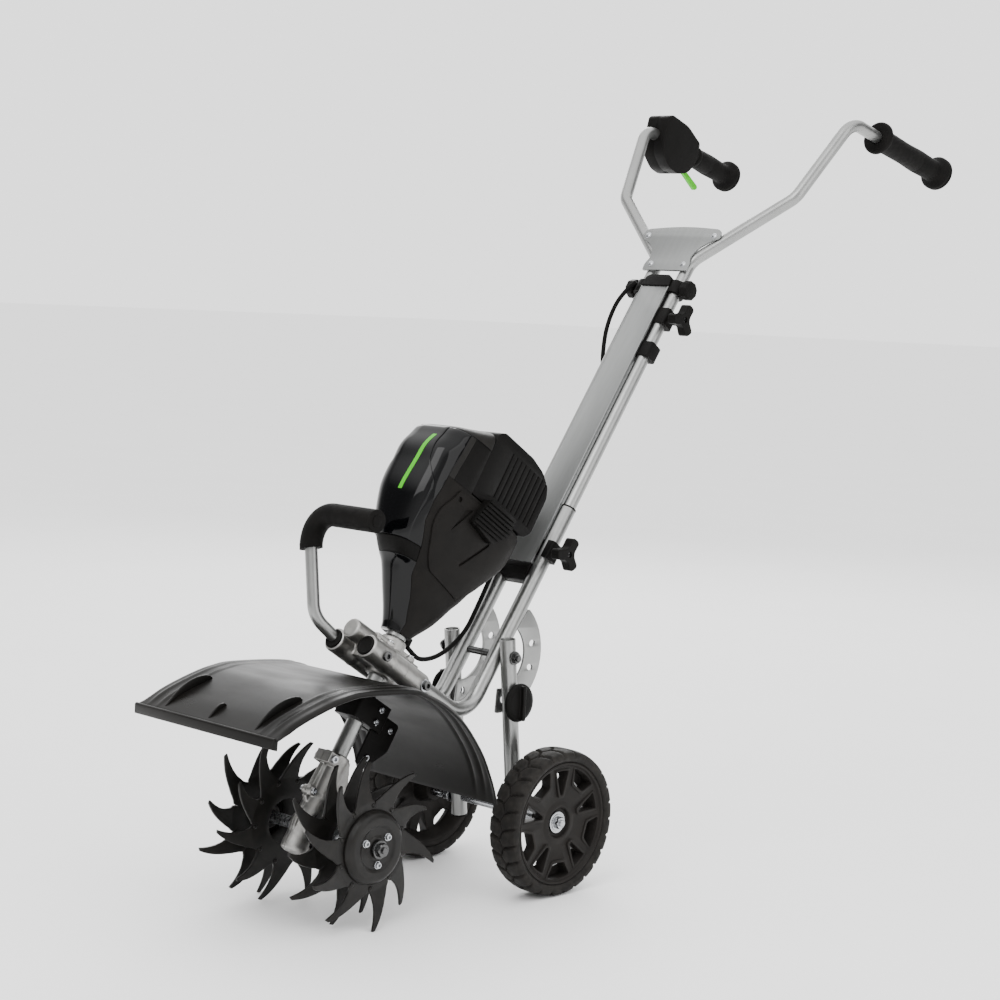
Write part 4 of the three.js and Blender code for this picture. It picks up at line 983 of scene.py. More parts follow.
def tine_sheet(outward):
    """Ten swept blades round a flat ring; alternate blades bend to alternate sides."""
    pitch = 2 * math.pi / TINE_BLADES
    first = -math.pi / 2 + 0.42 * pitch
    sweeps = [(radius, sweep_share) for radius, sweep_share, _ in BLADE]
    widths = [(radius, width) for radius, _, width in BLADE]
    columns = 8
    shapes = []
    for blade in range(TINE_BLADES):
        rows = []
        for radius in BLADE_ROWS:
            middle = blend_value(sweeps, radius)
            width = blend_value(widths, radius)
            reach = max(0.0, (radius - BLADE_ROOT) / (TINE_TIP - BLADE_ROOT))
            bend = (1 if blade % 2 == 0 else -1) * BLADE_BEND * reach * outward
            row = []
            for column in range(columns + 1):
                angle = first + (blade + middle + width * (column / columns - 0.5)) * pitch
                row.append((bend, *polar(radius, angle)))
            rows.append(row)
        shapes.append(grid(rows))
    return shapes


def tine_discs():
    for name, side in SIDES:
        for row, x in (("outer", 104), ("inner", 62)):
            outward = side if row == "outer" else -side
            turn = 0 if row == "outer" else math.pi / TINE_BLADES
            place = at(TINES, (x * side, 0, 0)) @ Matrix.Rotation(turn, 4, "X")
            disc = solid(f"visual_tine_disc_{row}_{name}", *[put(place, s) for s in tine_sheet(outward)])
            thicken(disc, 3.4, 0)
            part(bevel(disc, 0.7, 2, 50), "tines", TINE_BLACK, [f"tine_disc_{row}_{name}"], sharp=45)
            rivets = []
            for blade in range(TINE_BLADES):
                spot = (2 * outward, *polar(53.5, math.radians(18 + 36 * blade)))
                dome = lathe([(0, -0.6), (3, -0.6), (3, 0.2), (2.2, 1.1), (0, 1.5)], 20)
                rivets.append(put(at(place, spot, (outward, 0, 0)), dome))
            part(solid(f"tine_rivets_{row}_{name}", *rivets), "tines", TINE_BLACK, sharp=60)
        tine_hub(name, side)


def tine_hub(name, side):
    """Pressed dish on the outer disc, its three bolts and the shaft's end bolt."""
    hub = sideways(TINES, (104 * side, 0, 0), side)
    dish = rounded([(8.3, -11.8), (16, -11.8), (16, 6.2), (29.6, 6.2), (29.6, 2.2), (48, 2.2),
                    (48, 4.4), (44.5, 10.6), (40, 13), (30, 13), (27, 10.8), (16.5, 10.8),
                    (14.5, 12.6), (8.3, 12.6)], 2, 4)
    obj = solid(f"visual_tine_hub_{name}", put(hub, lathe(dish + dish[:1], 72)))
    part(obj, "tines", TINE_BLACK, [f"tine_hub_{name}"])
    shapes = []
    for i in range(3):
        angle = math.radians(35 + 120 * i)
        spot = at(hub, (*polar(21.5, angle), 10.6))
        shapes.append(washer(spot, 5.2, 2, 0.9))
        shapes.append(socket_screw(at(spot, (0, 0, 0.9)), 4.2, 3.4))
    part(solid(f"tine_hub_bolts_{name}", *shapes), "tines", ZINC)
    end = at(hub, (0, 0, 16))
    bolt = [washer(end, 12, 3, 1.8), hex_nut(at(end, (0, 0, 1.8)), 9.4, 6.4, 4.4)]
    part(solid(f"tine_shaft_bolt_{name}", *bolt), "tines", DARK_STEEL)


def tine_shaft():
    centre = sideways(TINES, (0, 0, 0))
    shapes = [put(centre, rod(8, -120, 120, 1, 40))]
    shapes += [put(centre, pipe(13.5, 8.1, 41 * side - 2.5, 41 * side + 2.5, 1)) for _, side in SIDES]
    part(solid("visual_tine_shaft", *shapes), "tines", STEEL, ["tine_shaft"])


# ---------------------------------------------------------------- fender


def fender_line():
    """Arc about the tine axle at the rear, then an almost straight run to the front lip."""
    axle = inside(GROUND, joint_point("tine_spin"))
    points = []
    for angle in range(10, 81, 10):
        radius = FENDER_RADIUS + max(0, angle - 40) * 0.2
        turn = math.radians(angle)
        points.append((0, axle.y + radius * math.cos(turn), axle.z + radius * math.sin(turn)))
    points += [(0, y, z) for y, z in ((-357, 315), (-390, 312.5), (-422, 305.5), (-469, 290), (-504, 272))]
    return smooth_path(points, 7)


def fender_relief(x, share):
    """Height of the sheet's ribs at x, at that share of its length."""
    height = 0.0
    for middle, width, rise in ((118, 4.5, 1.8), (101, 4.5, 1.6)):
        height += rise * math.exp(-((abs(x) - middle) / width) ** 2 * 2)
    edge = max(0.0, abs(x) - 130) / 7
    height -= 4.5 * edge ** 2
    fade = min(1.0, share / 0.12, (1 - share) / 0.05)
    return height * max(0.0, fade)


def fender():
    line = fender_line()
    columns = [-FENDER_HALF + 2 * FENDER_HALF * i / 110 for i in range(111)]
    rows = []
    for i, point in enumerate(line):
        along = (line[min(i + 1, len(line) - 1)] - line[max(i - 1, 0)]).normalized()
        outward = Vector((0, -along.z, along.y)) * -1
        share = i / (len(line) - 1)
        rows.append([point + Vector((x, 0, 0)) + outward * (fender_relief(x, share) - 0.2) for x in columns])
    sheet = solid("visual_fender", put(GROUND, grid(rows)))
    thicken(sheet, 2.6, -1)
    slot = rounded([(-20, -16), (20, -16), (20, 20), (-20, 20)], 6, 4)
    cut(sheet, DRIVE, prism(slot, -70, 40))
    part(bevel(sheet, 0.6, 2, 50), "root", FENDER_BLACK, ["fender"], sharp=45)
    tip = line[-1]
    lip = rounded([(tip.y - 4, tip.z - 11.5), (tip.y + 3, tip.z - 13.5), (tip.y + 4, tip.z - 1),
                   (tip.y - 1, tip.z + 2.6), (tip.y - 4, tip.z + 1)], 1.4, 3)
    bar = solid("fender_lip", put(GROUND @ ACROSS, prism(lip, -136, 136)))
    part(bevel(bar, 0.8, 3), "root", FENDER_BLACK)
    fender_fins(line)


def fender_fins(line):
    """Upright fins near the front lip: two long outer ones and a short middle one."""
    for name, x, first, height in (("left", 88, -15, 12), ("right", -88, -15, 12), ("middle", 0, -8, 7)):
        run = line[first:-1]
        rise = [height * math.sin(math.pi * (i / (len(run) - 1)) ** 0.7) for i in range(len(run))]
        crest = [(p.y, p.z - 1 + r) for p, r in zip(run[::-1], rise[::-1])]
        outline = [(p.y, p.z - 1.5) for p in run] + crest[1:-1]
        fin = solid(f"fender_fin_{name}", put(GROUND @ ACROSS, prism(outline, x - 1.6, x + 1.6)))
        part(bevel(fin, 0.6, 2), "root", FENDER_BLACK)


def fender_bracket():
    outline = rounded([(-20.5, -25), (20.5, -25), (20.5, 33), (-20.5, 33)], 5, 4)
    body = solid("visual_fender_bracket", put(DRIVE, prism(outline, -97, -61)))
    cut(body, DRIVE, rod(DRIVE_TUBE + TUBE_GAP, -120, -40))
    cut(body, DRIVE, box(-3, 3, 9, 60, -120, -40))
    part(bevel(body, 1.2, 3), "root", MATT_BLACK, ["fender_bracket"])
    tail = rounded([(21, -145), (40, -145), (65, -110), (65, -71), (21, -71)], 6, 4)
    plate = solid("fender_bracket_tail", put(DRIVE @ ACROSS, prism(tail, 8.2, 11.8)))
    part(bevel(plate, 0.6, 2), "root", MATT_BLACK)
    spots = ((20.5, 14, -88, 1), (20.5, 14, -70, 1), (11.8, 52, -84, 1), (11.8, 34, -132, 1))
    screws = [socket_screw(at(DRIVE, (x, y, z), (side, 0, 0)), 4.4, 3.2) for x, y, z, side in spots]
    part(solid("bracket_screws", *screws), "root", ZINC)


# ---------------------------------------------------------------- power head

# Height along the drive tube: front, rear, half-width, and how square the section is.
HEAD_STATIONS = [
    (31, -25, 16, 19.5, 2.3), (40, -28, 22, 20.5, 2.3), (55, -37, 34, 23, 2.4), (69, -46, 43, 26.5, 2.5),
    (85, -56, 50, 31, 2.6), (98, -64, 55, 34, 2.7), (110, -71, 60, 38, 2.9), (120, -82, 63, 41, 3.1),
    (130, -91, 66, 44, 3.2), (142, -98, 71, 47.5, 3.4), (158, -104, 79, 51, 3.6), (182, -110, 89, 55, 4),
    (205, -113, 90, 57.6, 4.4), (238, -113, 90, 57.8, 4.6), (262, -113, 90, 57.6, 4.6),
    (282, -106, 90, 57.4, 4.5), (300, -97, 90, 57, 4.4), (315, -66, 75, 56, 4.2), (326, -42, 50, 54, 3.8),
]


def head_ring(station, grow):
    """One closed section of the head, wider by `grow` all round."""
    height, front, rear, half, square = station
    ring = []
    for i in range(HEAD_SIDES):
        turn = 2 * math.pi * i / HEAD_SIDES
        c, s = math.cos(turn), math.sin(turn)
        depth = rear if s > 0 else -front
        ring.append(Vector((math.copysign(abs(c) ** (2 / square), c) * (half + grow),
                            math.copysign(abs(s) ** (2 / square), s) * (depth + grow), height)))
    return ring


def head_skin(grow=0.0, trim=0.0):
    """The whole head as one closed loft; `trim` shortens it at both ends."""
    rings = [head_ring(station, grow) for station in HEAD_STATIONS]
    for i, lift in ((0, trim), (-1, -trim)):
        rings[i] = [v + Vector((0, 0, lift)) for v in rings[i]]
    columns = [smooth_path([ring[k] for ring in rings], 4) for k in range(HEAD_SIDES)]
    return put(DRIVE, loft([list(ring) for ring in zip(*columns)]))


def head_part(name, outline, finish, nodes, reach=(-HEAD_REACH, HEAD_REACH), grow=0.0,
              hollow=HEAD_WALL, cuts=()):
    """The part of the head inside an outline in the (y, z) plane of the drive frame."""
    obj = solid(name, head_skin(grow))
    cut(obj, DRIVE @ ACROSS, prism(outline, *reach), "INTERSECT")
    if hollow:
        carve(obj, solid("hollow", head_skin(grow - hollow, hollow)))
    for place, shape in cuts:
        cut(obj, place, shape)
    return part(bevel(obj, 0.7, 2, 50), "root", finish, nodes, sharp=42)


COVER_FRONT = [(-200, 134.5), (-66, 134.5), (-84, 165), (-90, 193), (-88, 240), (-82, 290), (-80, 298),
               (-200, 298)]
NECK_FRONT = [(-200, 0), (-13, 0), (-13, 45), (-30, 75), (-48, 100), (-55.7, 116), (-200, 116)]
NECK_BAND = [(-200, 116.6), (-56, 116.6), (-65.4, 133.9), (-200, 133.9)]
SHELL_SIDE = [(-12.4, 0), (200, 0), (200, 231), (-87.6, 231), (-89.4, 193), (-83.4, 165.3), (-65.4, 135.3),
              (-47.4, 100.3), (-29.4, 75.3), (-12.4, 45.3)]
SEAM_BAND = [(-87.4, 231.6), (-78, 231.6), (-77, 250), (-71, 298), (-79.4, 298), (-81.4, 290.2), (-87.4, 240)]
BAY = [(-77.4, 231.6), (-40.6, 231.6), (-40.6, 298), (-70.4, 298), (-76.4, 250)]
TOP_RIM = [(-200, 298.6), (-40.9, 298.6), (-40.9, 345), (-200, 345)]

# What is cut out of the head's parts: a frame and a shape in it.
COLLAR_ROOM = (DRIVE, rod(14.4, 20, 60))
CABLE_ROOM = (at(DRIVE, (0, 22, 0)), rod(4, 10, 60))
TONGUE_ROOM = (DRIVE, box(-30.4, 30.4, -50.4, 0, 249.6, 400))


def head_shells():
    head_part("visual_motor_cover", COVER_FRONT, GLOSS_BLACK, ["motor_cover"])
    head_part("motor_neck", NECK_FRONT, GLOSS_BLACK, [], hollow=2.6, cuts=[COLLAR_ROOM])
    head_part("motor_neck_band", NECK_BAND, as_slot(MATT_BLACK, "gloss_black"), [], grow=-0.8, hollow=2.0)
    # The seam band's lighter grey is a painted highlight from grazing light.
    head_part("motor_seam_band", SEAM_BAND, PAINTED_SHEEN_GREY, [], grow=-0.6, hollow=2.0)
    cover_panel()
    for name, side in SIDES:
        head_part(f"visual_motor_shell_{name}", SHELL_SIDE, SHELL_GREY, [f"motor_shell_{name}"],
                  reach=both_ways(side, 0.3, HEAD_REACH), cuts=[COLLAR_ROOM, CABLE_ROOM])
        side_pad(name, side)
    vent_box()
    head_part("visual_battery_bay", BAY, as_slot(BATTERY_BLACK, "matt_black"), ["battery_bay"], grow=-0.8,
              cuts=[TONGUE_ROOM])
    # The top rim's lighter grey is a painted reflection of the studio light.
    head_part("motor_top_rim", TOP_RIM, PAINTED_SHEEN_GREY, [], hollow=0, cuts=[TONGUE_ROOM])


def cover_panel():
    """Raised middle of the cover: its edge is the crease that runs down both sides of the front."""
    right = [(25, 300), (27, 270), (31, 243), (47, 217), (48, 206), (45, 186), (38, 160), (31, 130)]
    outline = right + [(-x, z) for x, z in right[::-1]]
    obj = solid("motor_cover_panel", head_skin(1.1))
    cut(obj, DRIVE @ FACING, prism(rounded(outline, 4, 3), 40, 160), "INTERSECT")
    cut(obj, DRIVE @ ACROSS, prism(COVER_FRONT, -HEAD_REACH, HEAD_REACH), "INTERSECT")
    carve(obj, solid("hollow", head_skin(-1.5, 2)))
    part(bevel(obj, 0.9, 3, 40), "root", GLOSS_BLACK, sharp=50)
    bar = [(11, 281), (18, 281), (8, 193), (1, 193)]
    obj = solid("motor_cover_bar", head_skin(1.5))
    cut(obj, DRIVE @ FACING, prism(rounded(bar, 0.8, 2), 40, 160), "INTERSECT")
    carve(obj, solid("hollow", head_skin(0.9, 1)))
    part(obj, "root", GREEN, sharp=60)


def side_pad(name, side):
    """Raised pad over the motor on one side, with a screw hole and two slots."""
    outline = rounded([(-62, 226), (-66, 212), (-77, 190), (-75, 168), (-64, 150), (-54, 134), (-36, 116),
                       (38, 108), (56, 132), (82, 184), (84, 226)], 9, 5)
    obj = solid(f"motor_pad_{name}", head_skin(2.4))
    x0, x1 = both_ways(side, 18, 100)
    cut(obj, DRIVE @ ACROSS, prism(outline, x0, x1), "INTERSECT")
    carve(obj, solid("hollow", head_skin(-1)))
    for points in ([(-40, 208), (-27, 214), (-45, 173)], [(26, 194), (28, 190), (2, 143), (-1, 147)]):
        slot = prism(rounded(points, 1.2, 3), *both_ways(side, 40, 62))
        cut(obj, DRIVE @ ACROSS, slot)
    hole = at(DRIVE, (50 * side, -57, 214), (side, 0, 0))
    cut(obj, hole, rod(3.6, -20, 20))
    part(bevel(obj, 1.0, 3, 45), "root", SHELL_GREY, sharp=50)


def vent_box():
    """Louvred box over the controller on the left."""
    outline = rounded([(-27, 198), (-22, 216), (-13, 240), (42, 241), (44, 214), (20, 190)], 3, 3)
    body = solid("motor_vent_box", put(DRIVE @ ACROSS, prism(outline, 56.4, 70.5)))
    for i in range(7):
        z = 197 + i * 6
        cut(body, DRIVE, box(67.6, 75, -60, 80, z, z + 2.6))
    part(bevel(body, 0.7, 2), "root", MATT_BLACK)


def battery_pack():
    """Chamfered pack with grooves down its back and sides, on a tongue that slides into the bay."""
    outline = rounded([(-39.7, 234), (81, 234), (91.5, 246), (91.5, 301), (84, 315), (64, 327), (36, 333),
                       (-30, 333), (-39.7, 326)], 4, 3)
    body = solid("visual_battery", put(DRIVE @ ACROSS, prism(outline, -55.5, 55.5)))
    bevel(body, 5, 4, 50)
    for i in range(9):
        x = -44 + 11 * i
        cut(body, DRIVE, box(x - 1.5, x + 1.5, 90.3, 94, 240, 304))
    for _, side in SIDES:
        for i in range(9):
            y = -2 + 10 * i
            x0, x1 = both_ways(side, 54.6, 60)
            cut(body, DRIVE, box(x0, x1, y, y + 2.4, 250, 318))
    cut(body, DRIVE, box(-18.4, 18.4, 60.6, 120, 308.6, 400))
    part(bevel(body, 0.4, 2), "battery", BATTERY_BLACK, ["battery"])
    tongue = solid("battery_tongue", put(DRIVE, box(-29.5, 29.5, -49.5, -39.2, 250.5, 315)))
    part(bevel(tongue, 0.8, 2), "battery", BATTERY_BLACK)
    latch = rounded([(61.6, 312.2), (85.5, 312.2), (81.5, 316.8), (61.6, 327.6)], 1.6, 3)
    obj = solid("visual_battery_latch", put(DRIVE @ ACROSS, prism(latch, -17.8, 17.8)))
    for i in range(4):
        cut(obj, DRIVE, box(-14, 14, 66 + 4 * i, 67.6 + 4 * i, 320.5, 340))
    part(bevel(obj, 0.6, 2), "battery_latch", as_slot(MATT_BLACK, "battery_grey"), ["battery_latch"])


# ---------------------------------------------------------------- transport wheels

RIM_POCKET = (56, 77, 17, 11)  # inner and outer radius, half-angle at the outer and inner radius
RIM_WEDGE = (38, 72, 9.5, 3.5)


def pocket_outline(pocket, middle, grow=0.0):
    inner, outer, wide, narrow = pocket
    inner, outer = inner - grow, outer + grow
    extra_out, extra_in = math.degrees(grow / outer), math.degrees(grow / inner)
    points = []
    for i in range(7):
        turn = math.radians(middle - wide - extra_out + (wide + extra_out) * 2 * i / 6)
        points.append(polar(outer, turn))
    for turn in (math.radians(middle + narrow + extra_in), math.radians(middle - narrow - extra_in)):
        points.append(polar(inner, turn))
    return rounded(points, 3.5, 3)


def wheel_rim(name, hub, body):
    """Moulded rim: raised borders round five wide pockets and five narrow wedges."""
    half = [(6.3, -23), (16, -23), (19, -11), (21, 1), (64, 1), (73, -16), (76, -20.5), (83.8, -21),
            (83.8, 20.4), (80, 20.4), (78.6, 17.4), (76.5, 16), (30, 13.4), (24, 14.5), (21, 14.5), (19.5, 9),
            (6.3, 9)]
    soft = rounded(half, 1.2, 3)
    rim = solid(f"visual_wheel_rim_{name}", put(hub, lathe(soft + soft[:1], 120)))
    pockets = [(RIM_POCKET, 126 + 72 * k) for k in range(5)]
    pockets += [(RIM_WEDGE, 90 + 72 * k) for k in range(5)]
    for pocket, middle in pockets:
        cut(rim, hub, prism(pocket_outline(pocket, middle, 3), 12, 16.6), "UNION")
    for pocket, middle in pockets:
        cut(rim, hub, prism(pocket_outline(pocket, middle), -1, 19))
    part(bevel(rim, 0.6, 2, 40), body, WHEEL_BLACK, [f"wheel_rim_{name}"], sharp=45)


def tread_height(turn, x):
    """Depth of the tyre's surface below its outline at an angle and a distance across."""
    lug = turn * TREAD_LUGS / (2 * math.pi)
    phase = lug - math.floor(lug)
    zigzag = 3.2 * (4 * abs(phase - 0.5) - 1)
    groove = max(0.0, 1 - abs(x - zigzag) / 1.7)
    shift = 0.5 if x > 0 else 0.0
    cross = (lug + shift + 0.012 * x * (1 if x > 0 else -1)) % 1
    side_groove = max(0.0, 1 - abs(cross - 0.5) / 0.1)
    if abs(x) < 4.5:
        side_groove = 0.0
    return 3.4 * min(1.0, 2.2 * max(groove, side_groove))


def tyre(name, hub, body):
    section = [(84.2, 20, 0), (86.5, 22.6, 0), (89.5, 23.9, 0), (92, WHEEL_HALF, 0.35), (95, 23.4, 0.9),
               (97.2, 22.2, 1)]
    crown = [(97.2 + 2.8 * (1 - (x / 22.2) ** 4), x, 1)
             for x in (21, 19.5, 17.5, 15, 12.5, 10, 8, 6.5, 5, 4, 3, 2, 1, 0)]
    outer = section + crown
    outer += [(r, -x, d) for r, x, d in outer[-2::-1]]
    sides = TREAD_LUGS * 14
    verts = []
    for r, x, depth in outer:
        for i in range(sides):
            turn = 2 * math.pi * i / sides
            radius = r - depth * tread_height(turn, x)
            verts.append((*polar(radius, turn), x))
    shape = (verts, ring_faces(len(outer), sides, joined=True))
    obj = solid(f"visual_tyre_{name}", put(hub, shape))
    part(obj, body, TYRE_RUBBER, [f"tyre_{name}"], sharp=50)


def wheels():
    for name, side in SIDES:
        body = f"wheel_{name}"
        hub = outward_frame(side, joint_point(f"wheel_{name}_spin"))
        wheel_rim(name, hub, body)
        tyre(name, hub, body)
        nut_seat = at(hub, (0, 0, 9.4))
        nut = [washer(nut_seat, 14.8, 6.4, 1.8), washer(at(nut_seat, (0, 0, 1.8)), 11.5, 6.3, 1)]
        nut.append(hex_nut(at(nut_seat, (0, 0, 2.8)), 8.6, 6, 4.6))
        part(solid(f"visual_axle_nut_{name}", *nut), "wheel_legs", ZINC, [f"axle_nut_{name}"])
    axle = sideways(GROUND, (0, 0, AXLE.z / MM))
    shapes = [put(axle, rod(6, -136.5, 136.5, 1, 40))]
    for side in (-1, 1):
        low, high = both_ways(side, 66.2, 101.2)
        shapes.append(put(axle, rod(9, low, high, 0.8, 40)))
        low, high = both_ways(side, 66.2, 69)
        shapes.append(put(axle, rod(11.5, low, high, 0.8, 40)))
    part(solid("visual_wheel_axle", *shapes), "wheel_legs", ZINC, ["wheel_axle"])


# ---------------------------------------------------------------- grips and trigger


HOUSING = (112, 206)  # from and to, along the right grip's frame


def grip_frame(side):
    end = Vector((205 * side, 728, 1028))
    start = Vector((197 * side, 506, 1086))
    return at(GROUND, end, start - end, (1, 0, 0))


def grip_profile(name):
    r = GRIP_RADIUS
    length = GRIP_LENGTH[name]
    base = [(0, -8), (r + 5.5, -8), (r + 8.2, -5), (r + 8.2, -2.2), (r + 6.6, -1), (r + 8.5, 0.4),
            (r + 8.5, 4.6), (r + 6, 7.6), (r - 0.4, 12), (r - 0.5, 20), (r + 0.4, 60), (r - 0.8, 95)]
    if name == "left":
        base += [(r, length - 18), (r + 3, length - 11), (r + 7.6, length - 8), (r + 7.6, length - 2.5),
                 (r + 5, length)]
    else:
        base += [(r - 0.4, length - 16), (r + 0.8, length - 13), (r + 0.8, length - 9),
                 (r - 1, length - 7), (r - 1, length - 5), (r + 0.8, length - 4), (r + 0.8, length)]
    return base + [(9.7, length), (9.7, -2), (0, -2)]


def grips():
    """Rubber grips whose finger ribs are deepest on the underside."""
    rib_pitch, rib_depth = 6.5, 0.032
    for name, side in SIDES:
        frame_of_grip = grip_frame(side)
        soft = rounded(grip_profile(name), 1.6, 3, closed=False)
        verts, faces = lathe(soft, 80)
        ribbed = []
        for x, y, z in verts:
            swell = 1.0
            if 12 < z < GRIP_LENGTH[name] - 22 and math.hypot(x, y) > 12:
                wave = max(0.0, math.sin(z * 2 * math.pi / rib_pitch))
                swell -= rib_depth * wave * (0.35 + 0.65 * (0.5 - 0.5 * math.sin(math.atan2(y, x))) ** 2)
            ribbed.append((x * swell, y * swell, z))
        obj = solid(f"visual_grip_{name}", put(frame_of_grip, (ribbed, faces)))
        part(obj, "handlebar", GRIP_RUBBER, [f"grip_{name}"], sharp=50)


def trigger_room(obj, right):
    """The bar's bore, the trigger's slot and the lockout's slot."""
    low, high = HOUSING
    cut(obj, right, rod(9.7, low - 10, high + 10))
    cut(obj, right, box(-3.6, 3.6, -60, -10, low - 5, 162))
    cut(obj, right, box(-5.6, 5.6, 19, 60, 146, 168))


def trigger_assembly():
    """Moulded housing in two halves, the green trigger in its slot and the thumb lockout on top."""
    right = grip_frame(-1)
    low, high = HOUSING
    outline = [(-16, low), (18, low), (22, 124), (33, 150), (36, 196), (30, high), (-10, high), (-30, 200),
               (-46, 176), (-48, 152), (-38, 128)]
    body = solid("visual_trigger_housing", put(right @ ACROSS, prism(rounded(outline, 9, 6), -20, 20)))
    bevel(body, 7, 6, 50)
    trigger_room(body, right)
    cut(body, right, box(-0.25, 0.25, -60, 60, low - 5, high + 5))
    part(bevel(body, 0.5, 2, 50), "handlebar", MATT_BLACK, ["trigger_housing"], sharp=50)
    middle = (low + high) / 2
    core = [(y * 0.94, middle + (z - middle) * 0.94) for y, z in outline]
    filler = solid("trigger_housing_core", put(right @ ACROSS, prism(rounded(core, 9, 6), -0.6, 0.6)))
    trigger_room(filler, right)
    part(filler, "handlebar", MATT_BLACK)
    blade = [(-16, 156), (-24, 154), (-34, 120), (-51, 79), (-46, 73.4), (-42, 75), (-27, 118), (-14.4, 142)]
    obj = solid("visual_trigger", put(right @ ACROSS, prism(rounded(blade, 2.4, 4), -2.8, 2.8)))
    part(bevel(obj, 1.1, 4, 40), "trigger", GREEN, ["trigger"], sharp=50)
    button = rounded([(24.3, 148.2), (36, 149.2), (37.8, 151.5), (37.8, 162.5), (36, 165),
                      (24.3, 165.8)], 1.6, 3)
    obj = solid("visual_lockout_button", put(right @ ACROSS, prism(button, -4.9, 4.9)))
    part(bevel(obj, 0.9, 3, 40), "lockout", MATT_BLACK, ["lockout_button"], sharp=50)
    shell_screws = [socket_screw(at(right, (-19.6, y, z), (-1, 0, 0)), 2.6, 0.8)
                    for y, z in ((14, 128), (22, 192), (-30, 184), (-32, 140))]
    part(solid("housing_screws", *shell_screws), "handlebar", DARK_STEEL)


# ---------------------------------------------------------------- power cable


def power_cable():
    """From the underside of the head, round the right tube, up behind the panel to its upper cap."""
    to_ground = GROUND.inverted()
    on_drive = [(0, 22, 45), (0, 22, 30)]
    on_ground = [(-1, -158, 329), (-4, -137, 316), (-9, -104, 315), (-14, -70, 325), (-18, -38, 345),
                 (-24, -12, 372)]
    on_handle = []
    for i, degrees in enumerate((-95, -140, -185, -230, -262)):
        angle = math.radians(degrees)
        off = LOWER_TUBE[0] + CABLE_RADIUS + 2
        on_handle.append((-TUBE_X + off * math.cos(angle), off * math.sin(angle), 32 + 30 * i))
    on_handle += [(-28, 18, 200), (-27, 18, 260), (-28, 18, 330), (-38, 15, 375), (-52, 4, 415),
                  (-58, -8, 455), (-54, -17, 492), (-44, -19, 520), (-34, -19, 532)]
    points = [to_ground @ DRIVE @ Vector(p) for p in on_drive]
    points += [Vector(p) for p in on_ground]
    points += [to_ground @ HANDLE @ Vector(p) for p in on_handle]
    obj = solid("visual_power_cable", put(GROUND, sweep(smooth_path(points, 10), CABLE_RADIUS, sides=24)))
    part(obj, "root", as_slot(GRIP_RUBBER, "cable_black"), ["power_cable"], sharp=80)
    gland = at(DRIVE, (0, 22, 0))
    shape = put(gland, pipe(6.4, 3.5, 27.5, 38, 0.8, 32))
    part(solid("cable_gland", shape), "root", MATT_BLACK)


# ---------------------------------------------------------------- pieces kept from the CAD


def keep_internals():
    """The sealed pieces keep their CAD shape and get a full material each."""
    looks = {"motor_stator": wound_copper(), "motor_rotor": STEEL[0], "worm_shaft": STEEL[0],
             "worm_wheel": BRONZE[0], "shaft_bearing": STEEL[0], "controller": circuit_board()}
    for name, material in looks.items():
        for obj in bpy.data.objects:
            if obj.type == "MESH" and obj.name == name:
                obj.data.materials.clear()
                obj.data.materials.append(material)


# ---------------------------------------------------------------- stage


def camera():
    """The photo's view: low, from the machine's left front. Its numbers were fitted to the photo."""
    azimuth, elevation, roll = math.radians(43.798), math.radians(5.167), math.radians(2.555)
    right = Vector((math.cos(azimuth), math.sin(azimuth), 0))
    back = Vector((math.sin(azimuth) * math.cos(elevation), -math.cos(azimuth) * math.cos(elevation),
                   math.sin(elevation)))
    up = back.cross(right)
    turned_right = right * math.cos(roll) + up * math.sin(roll)
    turned_up = up * math.cos(roll) - right * math.sin(roll)
    data = bpy.data.cameras.new("photo_camera")
    data.lens = 75.98
    data.sensor_width = 36
    data.clip_end = 300
    obj = bpy.data.objects.new("photo_camera", data)
    matrix = Matrix((turned_right, turned_up, back)).transposed().to_4x4()
    matrix.translation = GROUND @ Vector((2014.4, -2099.4, 790.1))
    obj.matrix_world = matrix
    bpy.context.scene.collection.objects.link(obj)
    bpy.context.scene.camera = obj


def softbox(name, place, aim, size, power):
    data = bpy.data.lights.new(name, "AREA")
    data.shape = "RECTANGLE"
    data.size, data.size_y = size
    data.energy = power
    obj = bpy.data.objects.new(name, data)
    obj.location = place
    obj.rotation_euler = (Vector(aim) - Vector(place)).to_track_quat("-Z", "Y").to_euler()
    bpy.context.scene.collection.objects.link(obj)


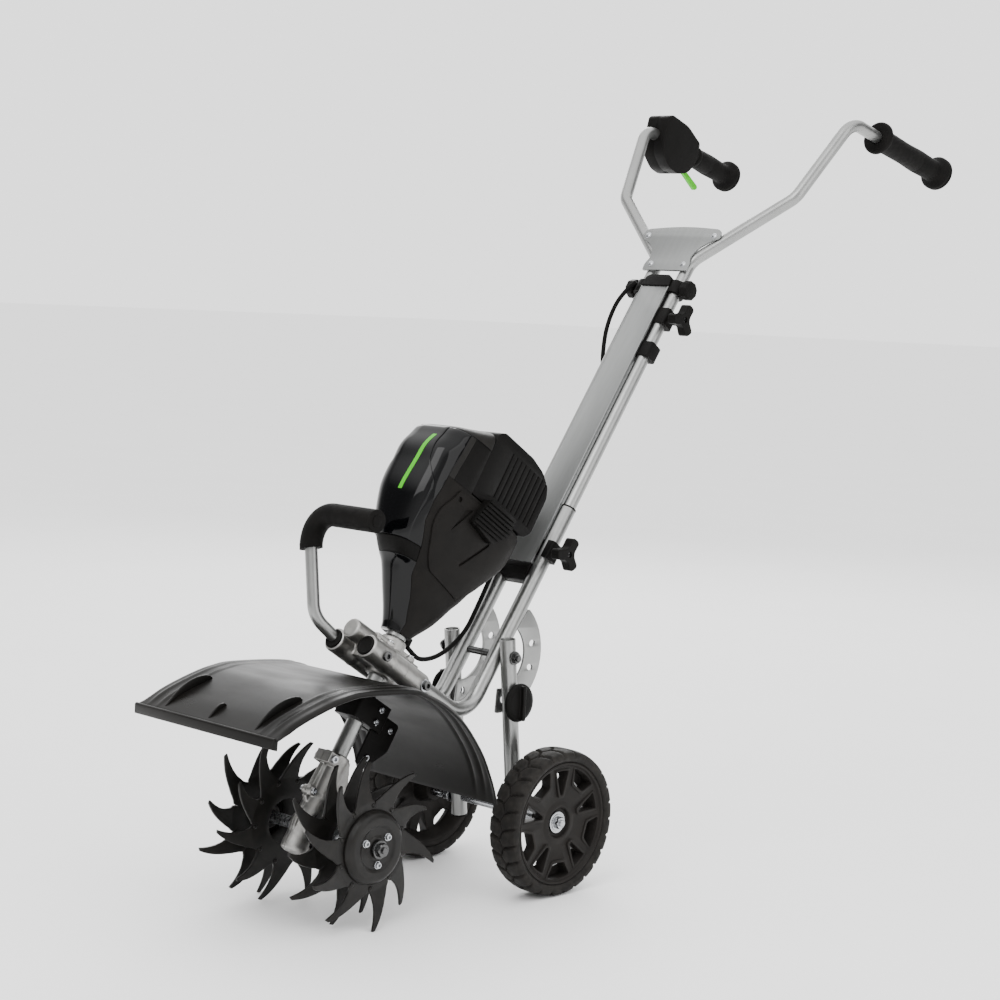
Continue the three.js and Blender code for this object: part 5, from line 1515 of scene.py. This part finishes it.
def studio_world():
    """White room, dark to both sides, so that round metal shows an edge.

    Its strength is the greater of two curves of the view's direction: how far that points ahead of
    the camera, and how far it points up. `along` and `above` are (direction, strength) pairs.
    """
    full_scale = 2.5
    world = bpy.data.worlds.new("studio")
    world.use_nodes = True
    bpy.context.scene.world = world
    nodes, links = world.node_tree.nodes, world.node_tree.links
    direction = nodes.new("ShaderNodeTexCoord").outputs["Generated"]
    ahead = nodes.new("ShaderNodeVectorMath")
    ahead.operation = "DOT_PRODUCT"
    ahead.inputs[1].default_value = (-0.69, 0.72, 0)
    links.new(direction, ahead.inputs[0])
    apart = nodes.new("ShaderNodeSeparateXYZ")
    links.new(direction, apart.inputs["Vector"])
    lightest = nodes.new("ShaderNodeMath")
    lightest.operation = "MAXIMUM"
    along = ((-1, 1.3), (-0.75, 0.9), (-0.3, 0.35), (0.35, 0.3), (0.75, 1.98), (1, 1.98))
    above = ((-1, 0), (0.35, 0), (0.8, 2.3), (1, 2.3))
    for slot, (source, levels) in enumerate(((ahead.outputs["Value"], along), (apart.outputs["Z"], above))):
        level = nodes.new("ShaderNodeFloatCurve")
        curve = level.mapping.curves[0]
        for x, y in levels[1:-1]:
            curve.points.new(x / 2 + 0.5, y / full_scale)
        curve.points[0].location = (0, levels[0][1] / full_scale)
        curve.points[-1].location = (1, levels[-1][1] / full_scale)
        level.mapping.update()
        share = nodes.new("ShaderNodeMath")
        share.operation = "MULTIPLY_ADD"
        share.inputs[1].default_value = 0.5
        share.inputs[2].default_value = 0.5
        links.new(source, share.inputs[0])
        links.new(share.outputs[0], level.inputs["Value"])
        links.new(level.outputs[0], lightest.inputs[slot])
    strength = nodes.new("ShaderNodeMath")
    strength.operation = "MULTIPLY"
    strength.inputs[1].default_value = full_scale
    links.new(lightest.outputs[0], strength.inputs[0])
    nodes["Background"].inputs["Color"].default_value = (1, 1, 1, 1)
    links.new(strength.outputs[0], nodes["Background"].inputs["Strength"])


def lights():
    studio_world()
    softbox("key", (0.6, -2.6, 3.0), (0, 0, 0.5), (2.4, 2.4), 75)
    softbox("side", (3.2, 0.4, 1.6), (0, 0, 0.5), (2.0, 2.6), 38)
    softbox("back", (-2.2, 2.4, 2.4), (0, 0, 0.6), (2.6, 2.0), 60)


def floor():
    look = Look("studio_floor", (0.98, 0.98, 0.98), 0.75)
    look.mottle(0.01, 3)
    half = 90
    mesh = bpy.data.meshes.new("floor")
    corners = [(-half, -half, 0), (half, -half, 0), (half, half, 0), (-half, half, 0)]
    mesh.from_pydata(corners, [], [(0, 1, 2, 3)])
    mesh.materials.append(look.material)
    obj = bpy.data.objects.new("floor", mesh)
    bpy.context.scene.collection.objects.link(obj)


# ---------------------------------------------------------------- build

frame_tubes()
pivot_rod()
quadrant_plates()
legs()
handlebars()
yoke_plate()
handle_panel()
panel_caps()
tube_clamp("visual_tube_clamp_lower", "tube_clamp_lower", 67, 93, LOWER_TUBE[0])
tube_clamp("visual_tube_clamp_upper", "tube_clamp_upper", 468, 494, UPPER_TUBE[0])
tube_clamp("tube_clamp_middle", None, 410, 434, UPPER_TUBE[0])
lobe_knob("visual_knob_lower", "knob_lower", "lower_knob", 80)
lobe_knob("visual_knob_upper", "knob_upper", "upper_knob", 481)
clamp_halves()
carry_handle()
drive_tube()
gearbox_halves()
tine_discs()
tine_shaft()
fender()
fender_bracket()
head_shells()
battery_pack()
wheels()
grips()
trigger_assembly()
power_cable()
keep_internals()
floor()
lights()
camera()
